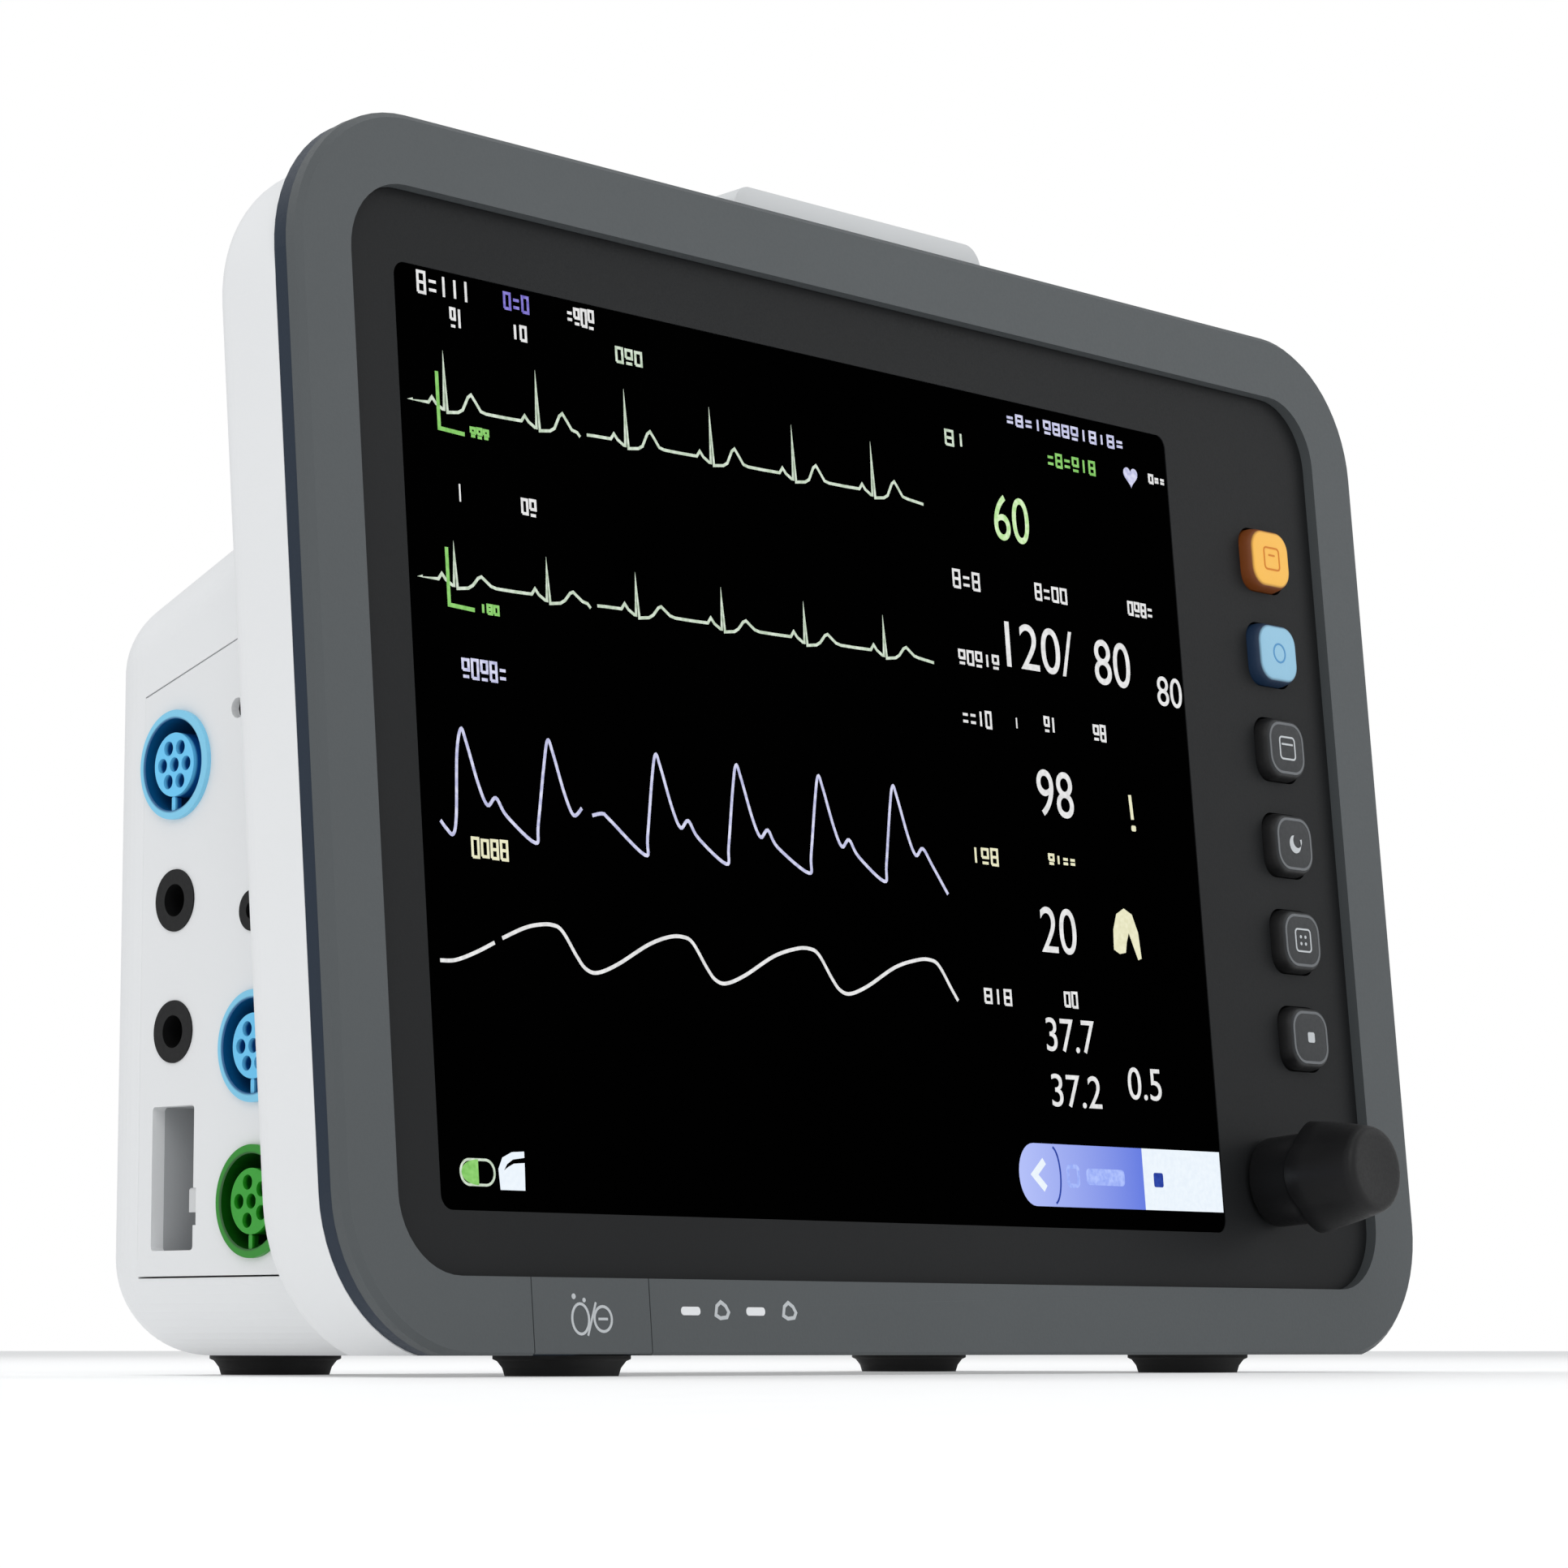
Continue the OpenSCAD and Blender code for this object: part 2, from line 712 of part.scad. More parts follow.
module trap_socket() {
    w = trap_w / 2;
    h = trap_h / 2;
    floor = 13.8;
    color("darkgray") placed() on_wall() translate([trap[0], trap[1], 0]) difference() {
        block(-w - 1.2, w + 1.2, -h - 1.2, h + 1.2, panel_t + eps, floor + 1.2);
        block(-w, w, -h, h, -1, floor);
    }
}

// Spring latch: a shelf across the recess and a thumb piece at its front edge.
module trap_latch() {
    w = trap_w / 2;
    color("whitesmoke") placed() on_wall() translate([trap[0], trap[1], 0]) {
        block(-w + 0.4, 2.2, -2.9, -1.7, 6, 13.6);
        block(-w - 0.6, -w + 1.6, -6.7, -2.3, 0.3, 2.9);
        block(-w + 0.4, -w + 1.6, -2.9, -2.3, 0.3, 11);
    }
}

// ---- back ---------------------------------------------------------------
module mains_inlet() {
    color("#242424") placed() on_back() translate([inlet[0], inlet[1], 0]) difference() {
        union() {
            plate(-16, 16, -12.5, 12.5, 3, -1.2, 0);
            block(-13.5, 13.5, -10, 10, -eps, 20);
        }
        plate(-12, 12, -8, 8, 3, -2, 17);
    }
}

module inlet_pins() {
    color("goldenrod") placed() on_back() translate([inlet[0], inlet[1], 0]) {
        for (x = [-7, 7]) block(x - 1, x + 1, -4.5, -0.5, 3, 17);
        block(-1, 1, 0, 4, 1.5, 17);
    }
}

module earth_stud() {
    color("goldenrod") placed() on_back() translate([stud_at[0], stud_at[1], 0]) {
        rod(5.5, -1.2, 0);
        rod(3, -stud_length, 6);
    }
}

module port_plate() {
    color("#3a3d40") placed() on_back() translate([ports[0], ports[1], 0]) difference() {
        union() {
            plate(-25.8, 25.8, -9.8, 9.8, 1.9, 0.2, 2.2);
            block(-23, -5, -8.5, 8.5, 2, 20);
            block(-3, 23, -8.5, 8.5, 2, 20);
        }
        block(-20.5, -7.5, -6, 4, -1, 17);
        for (y = [-6.6, 1.2]) block(1.5, 15.5, y, y + 5.6, -1, 17);
    }
}

module mount_inserts() {
    color("goldenrod") placed() on_back() for (x = [-1, 1], z = [-1, 1])
        translate([x * insert_pitch / 2, insert_z + z * insert_pitch / 2, 0]) difference() {
            rod(2.95, 0.3, 9);
            rod(2, -1, 8);
        }
}

// Hinge line of the battery door, on the right wall.
module on_door_axis() {
    on_right_wall() translate([door_axis[0], 0, door_axis[1]]) rotate([-90, 0, 0]) children();
}

module battery_door() {
    d = door_shape;
    color("gainsboro") placed() difference() {
        union() {
            on_right_wall()
                plate(d[0] + 0.3, door_axis[0] + 3, d[2] + 0.3, d[3] - 0.3, 2.7, 0.1, 2);
            on_door_axis() rod(1.3, d[2] + 0.8, d[3] - 0.8);
        }
        on_right_wall() difference() {
            block(door_axis[0], d[1] + 2, d[2] - 1, d[3] + 1, -1, 6);
            translate([door_axis[0], 0, door_axis[1]]) rotate([-90, 0, 0]) rod(1.3, d[2], d[3]);
        }
        on_door_axis() rod(0.8, d[2] - 2, d[3] + 2);
        on_right_wall() plate(d[0] + 3, d[0] + 7, 68, 82, 1.9, -1, 0.9);
    }
}

module door_pin() {
    color("silver") placed() on_door_axis() rod(0.75, door_shape[2] - 3.5, door_shape[3] + 3.5);
}

// ---- handle -------------------------------------------------------------
module carry_handle() {
    t = 9;
    arm = 13;
    color("#b9bdc1") placed() on_slope() difference() {
        union() {
            difference() {
                plate(-handle_w / 2, handle_w / 2, -20, handle_l, 14, -t / 2, t / 2);
                plate(-handle_w / 2 + arm, handle_w / 2 - arm, -40, handle_l - arm, 7, -t, t);
                block(-handle_w, handle_w, -40, 0, -t, t);
            }
            for (side = [-1, 1]) translate([side * (handle_w / 2 - arm / 2), 0, 0])
                rotate([0, 90, 0]) rod(t / 2, -arm / 2, arm / 2);
        }
        translate([-90, 0, 0]) rotate([0, 90, 0]) rod(3.05, 0, 180);
    }
}

module handle_pins() {
    color("silver") placed() on_slope() for (side = [-1, 1])
        translate([side * handle_w / 2, 0, 0]) rotate([0, 90, 0]) rod(2.99, -11, 8.2);
}

// ---- feet and screws ----------------------------------------------------
module foot(x, y) {
    color("#141414") placed() translate([x, y, 0]) difference() {
        rotate_extrude() polygon([[0, 0], [foot_r - 2.4, 0], [foot_r - 1.9, 1.6], [foot_r - 0.9, 2.9],
            [foot_r, 3.3], [foot_r, body_bottom], [0, body_bottom]]);
        rod(4, -1, 2);
        rod(1.7, 0, 5);
    }
}

module foot_screws() {
    color("silver") placed() for (x = [-foot_x, foot_x], y = [foot_front, foot_rear])
        translate([x, y, 0]) {
            rod(3, 0.8, 2);
            rod(1.65, 1.9, 10);
        }
}

module casing_screws() {
    color("silver") placed() on_face() for (p = casing_screw_places)
        translate([p[0], p[1], 0]) {
            rod(1.65, 14, casing_back + 0.1);
            rod(3.2, casing_back, casing_back + 1.8);
        }
}

front_bezel();
trim_band();
front_casing();
front_panel();
display_glass();
display_module();
display_bracket();
front_key(0);  // key_1_orange
front_key(1);  // key_2_blue
front_key(2);  // key_3
front_key(3);  // key_4
front_key(4);  // key_5
front_key(5);  // key_6
key_board();
key_switches();
power_key();
power_switch();
indicator_lenses();
knob_cap();
encoder_shaft();
encoder_plunger();
encoder_body();
encoder_nut();
alarm_lamp();
alarm_led_board();
chassis_plate();
main_board();
board_standoffs();
rear_housing();
side_panel();
ecg_socket();
ecg_insert();
spo2_socket();
spo2_insert();
pressure_socket();
pressure_insert();
probe_jacks();
cuff_port();
trap_socket();
trap_latch();
parameter_board();
cuff_pump();
power_supply();
mains_inlet();
inlet_pins();
earth_stud();
port_plate();
battery();
battery_door();
door_pin();
carry_handle();
handle_pins();
speaker();
mount_inserts();
foot(-foot_x, foot_front);  // foot_front_left
foot(foot_x, foot_front);  // foot_front_right
foot(-foot_x, foot_rear);  // foot_rear_left
foot(foot_x, foot_rear);  // foot_rear_right
foot_screws();
casing_screws();
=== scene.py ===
"""Looks of the patient monitor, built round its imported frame. All lengths in design tables are in mm."""

import json
import math
import random

import bmesh
import bpy
from mathutils import Matrix, Vector

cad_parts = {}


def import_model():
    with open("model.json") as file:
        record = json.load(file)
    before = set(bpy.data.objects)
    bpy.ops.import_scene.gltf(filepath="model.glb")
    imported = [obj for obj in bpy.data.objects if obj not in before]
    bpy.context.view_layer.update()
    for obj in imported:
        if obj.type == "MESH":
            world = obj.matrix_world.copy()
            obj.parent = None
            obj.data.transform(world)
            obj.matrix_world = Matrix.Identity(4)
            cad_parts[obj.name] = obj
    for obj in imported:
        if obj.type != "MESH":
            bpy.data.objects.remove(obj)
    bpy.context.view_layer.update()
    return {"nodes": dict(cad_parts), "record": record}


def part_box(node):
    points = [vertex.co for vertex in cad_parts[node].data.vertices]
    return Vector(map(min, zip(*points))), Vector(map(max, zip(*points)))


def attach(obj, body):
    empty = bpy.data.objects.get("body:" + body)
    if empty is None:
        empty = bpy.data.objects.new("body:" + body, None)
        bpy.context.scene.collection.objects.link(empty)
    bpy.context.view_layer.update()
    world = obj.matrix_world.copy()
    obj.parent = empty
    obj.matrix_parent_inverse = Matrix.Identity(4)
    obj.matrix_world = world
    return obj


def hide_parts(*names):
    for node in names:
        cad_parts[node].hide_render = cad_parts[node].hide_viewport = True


MM = 0.001
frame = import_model()
RECORD = frame["record"]
NODES = frame["nodes"]


# ---- places ---------------------------------------------------------------
def named(rows, name):
    return next(row for row in rows if row["name"] == name)


def axes(x, y, origin):
    """Matrix of a right-handed frame with its third axis out of the surface."""
    z = x.cross(y)
    m = Matrix((x, y, z)).transposed().to_4x4()
    m.translation = origin
    return m


JOINTS = RECORD["behaviour"]["joints"]
KNOB_JOINT = named(JOINTS, "knob_turn")
PUSH = Vector(KNOB_JOINT["axis"])
FACE_UP = Vector((0, -PUSH.z, PUSH.y))
KNOB_X = 119.3
KNOB_V = 39.8
KNOB = Vector(KNOB_JOINT["pos_m"])
FACE_ORIGIN = KNOB - Vector((KNOB_X * MM, 0, 0)) - FACE_UP * KNOB_V * MM
FACE = axes(Vector((1, 0, 0)), FACE_UP, FACE_ORIGIN)

JACK = named(RECORD["mounts"], "probe_jack_upper")
WALL_OUT = Vector(JACK["axis"])
WALL_FRONT = Vector((0, 0, 1)).cross(WALL_OUT)
JACK_DEPTH = 7.85  # from the wall's face to the middle of the jack's bore
WALL_ORIGIN = Vector(JACK["pos_m"]) + WALL_OUT * JACK_DEPTH * MM
WALL = axes(WALL_FRONT, Vector((0, 0, 1)), WALL_ORIGIN)

GLASS = -2.8       # the screen's front, out of the bezel's face
KEY_X = 135.2
KEY_V = [73.6 + 22.7 * i for i in range(5, -1, -1)]
KEY_NODES = ["key_1_orange", "key_2_blue", "key_3", "key_4", "key_5", "key_6"]
KEY_BODIES = ["orange_key", "blue_key", "third_key", "fourth_key", "fifth_key", "sixth_key"]
KEY_SLOTS = ["key_orange", "key_blue"] + ["key_dark"] * 4


# ---- meshes ---------------------------------------------------------------
def add(name, bm, place, body, material, smooth=False):
    bmesh.ops.recalc_face_normals(bm, faces=bm.faces)
    mesh = bpy.data.meshes.new(name)
    bm.to_mesh(mesh)
    bm.free()
    mesh.transform(place @ Matrix.Scale(MM, 4))
    for polygon in mesh.polygons:
        polygon.use_smooth = smooth
    piece = bpy.data.objects.new(name, mesh)
    bpy.context.scene.collection.objects.link(piece)
    mesh.materials.append(material)
    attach(piece, body)
    return piece


def loft(bm, rings):
    """Closed skin over rings that all have the same number of points."""
    loops = [[bm.verts.new(p) for p in ring] for ring in rings]
    count = len(loops[0])
    for low, high in zip(loops, loops[1:]):
        for i in range(count):
            j = (i + 1) % count
            bm.faces.new((low[i], low[j], high[j], high[i]))
    bm.faces.new(loops[0][::-1])
    bm.faces.new(loops[-1])


def rounded(w, h, r, steps=8):
    """Outline of a rounded rectangle round the origin."""
    points = []
    for cx, cy, start in ((1, 1, 0), (-1, 1, 90), (-1, -1, 180), (1, -1, 270)):
        for i in range(steps + 1):
            a = math.radians(start + 90 * i / steps)
            x = cx * (w / 2 - r) + r * math.cos(a)
            y = cy * (h / 2 - r) + r * math.sin(a)
            points.append((x, y))
    return points


def ellipse(w, h, steps=28):
    turn = 2 * math.pi / steps
    return [(w / 2 * math.cos(i * turn), h / 2 * math.sin(i * turn)) for i in range(steps)]


def arc(rx, ry, start, stop, step):
    """Points along an ellipse round the origin, between two angles in degrees."""
    turns = [math.radians(a) for a in range(start, stop, step)]
    return [(rx * math.cos(a), ry * math.sin(a)) for a in turns]


def moved(points, x, y):
    return [(px + x, py + y) for px, py in points]


def prism(bm, outline, low, high):
    loft(bm, [[(x, y, low) for x, y in outline], [(x, y, high) for x, y in outline]])


def offsets(points, half, closed):
    """Mitred left and right points along a path."""
    count = len(points)
    left = []
    right = []
    for i, point in enumerate(points):
        here = Vector(point)
        before = Vector(points[i - 1]) if i or closed else None
        after = Vector(points[(i + 1) % count]) if i + 1 < count or closed else None
        a = (here - before).normalized() if before is not None else None
        b = (after - here).normalized() if after is not None else a
        a = b if a is None else a
        na = Vector((-a.y, a.x))
        nb = Vector((-b.y, b.x))
        mean = na + nb
        mean = mean.normalized() if mean.length > 0.05 else na
        reach = half / max(mean.dot(na), 0.45)
        left.append(here + mean * reach)
        right.append(here - mean * reach)
    return left, right


def ribbon(bm, points, width, low, high, closed=False):
    """Thin closed bar of one width along a path."""
    left, right = offsets(points, width / 2, closed)
    rows = []
    for a, b in zip(left, right):
        corners = ((a.x, a.y, low), (b.x, b.y, low), (b.x, b.y, high), (a.x, a.y, high))
        rows.append([bm.verts.new(c) for c in corners])
    pairs = list(zip(rows, rows[1:]))
    if closed:
        pairs.append((rows[-1], rows[0]))
    for p, q in pairs:
        for i in range(4):
            j = (i + 1) % 4
            bm.faces.new((p[i], p[j], q[j], q[i]))
    if not closed:
        bm.faces.new(rows[0][::-1])
        bm.faces.new(rows[-1])


def smooth_path(points, steps=7):
    """Catmull-Rom curve through the points."""
    ends = [points[0]] + list(points) + [points[-1]]
    path = []
    for a, b, c, d in zip(ends, ends[1:], ends[2:], ends[3:]):
        a, b, c, d = Vector(a), Vector(b), Vector(c), Vector(d)
        for i in range(steps):
            t = i / steps
            line = 2 * b + (c - a) * t
            bend = (2 * a - 5 * b + 4 * c - d) * t * t
            twist = (3 * b - 3 * c + d - a) * t * t * t
            path.append(tuple((line + bend + twist) / 2))
    path.append(points[-1])
    return path


# ---- materials ------------------------------------------------------------
GRAIN_DEPTH = 0.00008
PLASTIC_DRIFT = 14


def srgb(r, g, b):
    def linear(v):
        v /= 255
        return v / 12.92 if v <= 0.04045 else ((v + 0.055) / 1.055) ** 2.4
    return (linear(r), linear(g), linear(b), 1)


def new_material(name):
    material = bpy.data.materials.new(name)
    material.use_nodes = True
    tree = material.node_tree
    return material, tree, tree.nodes["Principled BSDF"]


def noise(tree, scale, detail=3, stretch=(1, 1, 1)):
    coordinates = tree.nodes.new("ShaderNodeTexCoord")
    mapping = tree.nodes.new("ShaderNodeMapping")
    mapping.inputs["Scale"].default_value = stretch
    texture = tree.nodes.new("ShaderNodeTexNoise")
    texture.inputs["Scale"].default_value = scale
    texture.inputs["Detail"].default_value = detail
    tree.links.new(coordinates.outputs["Object"], mapping.inputs["Vector"])
    tree.links.new(mapping.outputs["Vector"], texture.inputs["Vector"])
    return texture.outputs["Fac"]


def spread(tree, value, low, high):
    """A value that runs from low to high with the middle of the noise."""
    node = tree.nodes.new("ShaderNodeMapRange")
    node.inputs["From Min"].default_value = 0.3
    node.inputs["From Max"].default_value = 0.7
    node.inputs["To Min"].default_value = low
    node.inputs["To Max"].default_value = high
    tree.links.new(value, node.inputs["Value"])
    return node.outputs["Result"]


def two_tone(tree, value, first, second):
    node = tree.nodes.new("ShaderNodeMix")
    node.data_type = "RGBA"
    node.inputs["A"].default_value = first
    node.inputs["B"].default_value = second
    tree.links.new(value, node.inputs["Factor"])
    return node.outputs["Result"]


def bumped(tree, shader, value, strength, depth):
    node = tree.nodes.new("ShaderNodeBump")
    node.inputs["Strength"].default_value = strength
    node.inputs["Distance"].default_value = depth
    tree.links.new(value, node.inputs["Height"])
    tree.links.new(node.outputs["Normal"], shader.inputs["Normal"])


def shaded(colour, factor):
    return tuple(min(c * factor, 1) for c in colour[:3]) + (1,)


def toned(tree, colour, tone=0.04, scale=30):
    """Colour that drifts a little lighter and darker over a piece."""
    drift = spread(tree, noise(tree, scale, 4), 0, 1)
    return two_tone(tree, drift, shaded(colour, 1 - tone), shaded(colour, 1 + tone))


def finished(tree, shader, rough, grain, bump, gloss):
    """Fine moulded grain with an uneven sheen."""
    fine = noise(tree, grain, 2)
    tree.links.new(spread(tree, fine, rough - 0.05, rough + 0.06), shader.inputs["Roughness"])
    bumped(tree, shader, fine, bump, GRAIN_DEPTH)
    shader.inputs["Specular IOR Level"].default_value = gloss


def plastic(name, colour, rough, grain, bump, tone, gloss):
    """Moulded plastic: fine grain, slight colour drift and uneven sheen."""
    material, tree, shader = new_material(name)
    tree.links.new(toned(tree, colour, tone, PLASTIC_DRIFT), shader.inputs["Base Color"])
    finished(tree, shader, rough, grain, bump, gloss)
    return material


def metal(name, colour, rough=0.3, stretch=(1, 1, 40)):
    """Turned or rolled metal with fine lines and slightly dull patches."""
    material, tree, shader = new_material(name)
    lines = noise(tree, 220, 3, stretch)
    patches = noise(tree, 40, 4)
    tinted = two_tone(tree, spread(tree, patches, 0, 1), shaded(colour, 0.86), shaded(colour, 1.05))
    tree.links.new(tinted, shader.inputs["Base Color"])
    tree.links.new(spread(tree, lines, rough - 0.08, rough + 0.12), shader.inputs["Roughness"])
    bumped(tree, shader, lines, 0.2, 0.00005)
    shader.inputs["Metallic"].default_value = 1
    return material


def rubber(name, colour):
    material, tree, shader = new_material(name)
    fine = noise(tree, 900, 5)
    dusty = noise(tree, 60, 4)
    tinted = two_tone(tree, spread(tree, dusty, 0, 0.35), colour, srgb(62, 62, 62))
    tree.links.new(tinted, shader.inputs["Base Color"])
    tree.links.new(spread(tree, dusty, 0.6, 0.85), shader.inputs["Roughness"])
    bumped(tree, shader, fine, 0.5, 0.00012)
    shader.inputs["Specular IOR Level"].default_value = 0.3
    return material


def round_axis(tree, centre, axis):
    """Distance from an axis and height along it, in metres, of every point of a piece."""
    coordinates = tree.nodes.new("ShaderNodeTexCoord")
    away = tree.nodes.new("ShaderNodeVectorMath")
    away.operation = "SUBTRACT"
    away.inputs[1].default_value = centre
    tree.links.new(coordinates.outputs["Object"], away.inputs[0])
    along = tree.nodes.new("ShaderNodeVectorMath")
    along.operation = "DOT_PRODUCT"
    along.inputs[1].default_value = axis
    tree.links.new(away.outputs["Vector"], along.inputs[0])
    across = tree.nodes.new("ShaderNodeVectorMath")
    across.operation = "CROSS_PRODUCT"
    across.inputs[1].default_value = axis
    tree.links.new(away.outputs["Vector"], across.inputs[0])
    length = tree.nodes.new("ShaderNodeVectorMath")
    length.operation = "LENGTH"
    tree.links.new(across.outputs["Vector"], length.inputs[0])
    return length.outputs["Value"], along.outputs["Value"]


def graded(tree, value, start, end, first, second):
    """Colour that goes from first to second between two values in mm."""
    node = tree.nodes.new("ShaderNodeMapRange")
    node.inputs["From Min"].default_value = start * MM
    node.inputs["From Max"].default_value = end * MM
    tree.links.new(value, node.inputs["Value"])
    mix = tree.nodes.new("ShaderNodeMix")
    mix.data_type = "RGBA"
    tree.links.new(node.outputs["Result"], mix.inputs["Factor"])
    for socket, colour in (("A", first), ("B", second)):
        if isinstance(colour, tuple):
            mix.inputs[socket].default_value = colour
        else:
            tree.links.new(colour, mix.inputs[socket])
    return mix.outputs["Result"]


def key_silicone_shaded_sides(name, top, side):
    """Silicone key, pale on top, with painted shade that darkens its sides."""
    material, tree, shader = new_material(name)
    _, height = round_axis(tree, FACE_ORIGIN, -PUSH)
    # Painted shade: below the top, the key's sides take the darker side colour.
    tree.links.new(graded(tree, height, 0.1, 0.5, side, toned(tree, top)), shader.inputs["Base Color"])
    finished(tree, shader, 0.5, 1200, 0.2, 0.35)
    return material


def wall_point(node):
    low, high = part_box(node)
    return (Vector(low) + Vector(high)) / 2


def socket_plastic(name, node, rim, groove):
    """Round socket: pale rim, deep coloured groove."""
    material, tree, shader = new_material(name)
    radius, _ = round_axis(tree, wall_point(node), WALL_OUT)
    tree.links.new(graded(tree, radius, 9.15, 9.6, groove, toned(tree, rim)), shader.inputs["Base Color"])
    finished(tree, shader, 0.35, 1000, 0.12, 0.5)
    return material


def insert_with_cell_shade(name, front, cell_shade):
    """Contact insert: pale front, with painted shade in its recessed cells."""
    material, tree, shader = new_material(name)
    _, height = round_axis(tree, WALL.translation, WALL_OUT)
    # Painted shade: every part of the insert deeper than the wall face takes the dark colour.
    tree.links.new(graded(tree, height, -0.3, 0.3, cell_shade, toned(tree, front)), shader.inputs["Base Color"])
    finished(tree, shader, 0.35, 1000, 0.12, 0.5)
    return material


def board(name, laminate, track):
    """Circuit board: lacquered laminate with a web of tracks."""
    material, tree, shader = new_material(name)
    coordinates = tree.nodes.new("ShaderNodeTexCoord")
    cells = tree.nodes.new("ShaderNodeTexVoronoi")
    cells.distance = "MANHATTAN"
    cells.feature = "F1"
    cells.inputs["Scale"].default_value = 260
    tree.links.new(coordinates.outputs["Object"], cells.inputs["Vector"])
    web = spread(tree, cells.outputs["Distance"], 0, 1)
    tree.links.new(two_tone(tree, web, laminate, track), shader.inputs["Base Color"])
    tree.links.new(spread(tree, noise(tree, 300), 0.25, 0.5), shader.inputs["Roughness"])
    bumped(tree, shader, web, 0.3, 0.0001)
    return material


def lit(tree, shader, colour, uneven):
    """Black surface that glows in one colour socket's colour."""
    tree.links.new(colour, shader.inputs["Emission Color"])
    tree.links.new(spread(tree, uneven, 0.4, 0.6), shader.inputs["Roughness"])
    shader.inputs["Base Color"].default_value = (0, 0, 0, 1)
    shader.inputs["Emission Strength"].default_value = 1
    shader.inputs["Specular IOR Level"].default_value = 0


def light(name, colour, second):
    """Lit part of the screen, with the fine unevenness of a panel."""
    material, tree, shader = new_material(name)
    grid = noise(tree, 900, 1)
    lit(tree, shader, two_tone(tree, spread(tree, grid, 0, 1), second, colour), grid)
    return material


def light_slope(name, left, right, x0, x1):
    """Lit bar whose colour changes along X."""
    material, tree, shader = new_material(name)
    coordinates = tree.nodes.new("ShaderNodeTexCoord")
    parts = tree.nodes.new("ShaderNodeSeparateXYZ")
    tree.links.new(coordinates.outputs["Object"], parts.inputs["Vector"])
    ramp = tree.nodes.new("ShaderNodeMapRange")
    ramp.inputs["From Min"].default_value = x0 * MM
    ramp.inputs["From Max"].default_value = x1 * MM
    tree.links.new(parts.outputs["X"], ramp.inputs["Value"])
    lit(tree, shader, two_tone(tree, ramp.outputs["Result"], left, right), noise(tree, 900))
    return material


SOCKET_BLUE = srgb(128, 204, 236)
SOCKET_GROOVE = srgb(4, 84, 136)
MATERIALS = {
    "bezel": plastic("bezel_plastic", srgb(82, 86, 88), 0.5, 1600, 0.3, 0.03, 0.25),
    "band": plastic("band_plastic", srgb(24, 38, 54), 0.4, 1600, 0.2, 0.06, 0.3),
    "casing": plastic("casing_plastic", srgb(232, 233, 234), 0.5, 1300, 0.3, 0.015, 0.35),
    "side_panel": plastic("side_plastic", srgb(230, 231, 232), 0.5, 1300, 0.3, 0.015, 0.35),
    "panel": plastic("panel_plastic", srgb(32, 33, 34), 0.45, 2200, 0.15, 0.05, 0.1),
    "screen": plastic("screen_front", srgb(1, 1, 1), 0.6, 2600, 0.08, 0.3, 0.0),
    # The second colour of each key is the painted shade of its sides.
    "key_orange": key_silicone_shaded_sides("orange_silicone_shaded_sides", srgb(255, 192, 84), srgb(120, 60, 14)),
    "key_blue": key_silicone_shaded_sides("blue_silicone_shaded_sides", srgb(150, 198, 224), srgb(22, 46, 74)),
    "key_dark": key_silicone_shaded_sides("dark_silicone_shaded_sides", srgb(48, 50, 52), srgb(14, 14, 15)),
    "lens": plastic("lens_plastic", srgb(236, 238, 240), 0.35, 900, 0.1, 0.04, 0.5),
    "knob": plastic("knob_plastic", srgb(20, 20, 21), 0.5, 1500, 0.3, 0.1, 0.3),
    "lamp": plastic("lamp_diffuser", srgb(214, 216, 217), 0.35, 1000, 0.12, 0.03, 0.45),
    "socket_blue": socket_plastic("blue_socket", "ecg_socket", SOCKET_BLUE, SOCKET_GROOVE),
    # The second colour of each insert is the painted shade of its recessed cells.
    "insert_blue": insert_with_cell_shade("blue_insert_cell_shade", srgb(104, 200, 246), srgb(0, 84, 156)),
    "socket_green": socket_plastic("green_socket", "pressure_socket", srgb(30, 138, 22), srgb(6, 78, 6)),
    "insert_green": insert_with_cell_shade("green_insert_cell_shade", srgb(40, 160, 34), srgb(4, 92, 8)),
    "jack": plastic("jack_plastic", srgb(15, 15, 16), 0.5, 1200, 0.2, 0.1, 0.25),
    "recess": plastic("recess_plastic", srgb(176, 178, 180), 0.5, 1300, 0.3, 0.03, 0.3),
    "latch": plastic("latch_plastic", srgb(205, 206, 207), 0.45, 1300, 0.25, 0.03, 0.4),
    "pump": metal("pump_metal", srgb(190, 192, 196), 0.35),
    "supply_board": board("supply_laminate", srgb(150, 110, 60), srgb(180, 140, 90)),
    "inlet": plastic("inlet_plastic", srgb(26, 26, 27), 0.4, 1200, 0.2, 0.1, 0.4),
    "ports": plastic("port_plastic", srgb(52, 54, 57), 0.45, 1200, 0.25, 0.06, 0.4),
    "battery": plastic("battery_wrap", srgb(50, 53, 56), 0.3, 700, 0.2, 0.08, 0.5),
    "handle": plastic("handle_plastic", srgb(186, 190, 194), 0.45, 1200, 0.35, 0.03, 0.4),
    "foot": rubber("foot_rubber", srgb(16, 16, 16)),
    "machined_metal": metal("machined_metal", srgb(196, 196, 198)),
    "inner_steel": metal("inner_steel", srgb(170, 176, 182), 0.4, (1, 40, 1)),
    "brass": metal("brass_metal", srgb(206, 172, 96), 0.28),
    "circuit_board": board("green_laminate", srgb(18, 76, 44), srgb(52, 116, 74)),
    "inner_black": plastic("inner_black", srgb(34, 34, 36), 0.5, 1000, 0.3, 0.1, 0.4),
}


def dress_nodes():
    for row in RECORD["subparts"]:
        node = NODES[row["node"]]
        node.data.materials.clear()
        node.data.materials.append(MATERIALS[row["material_slot"]])
    low_socket = socket_plastic("blue_socket_front", "spo2_socket", SOCKET_BLUE, SOCKET_GROOVE)
    NODES["spo2_socket"].data.materials[0] = low_socket


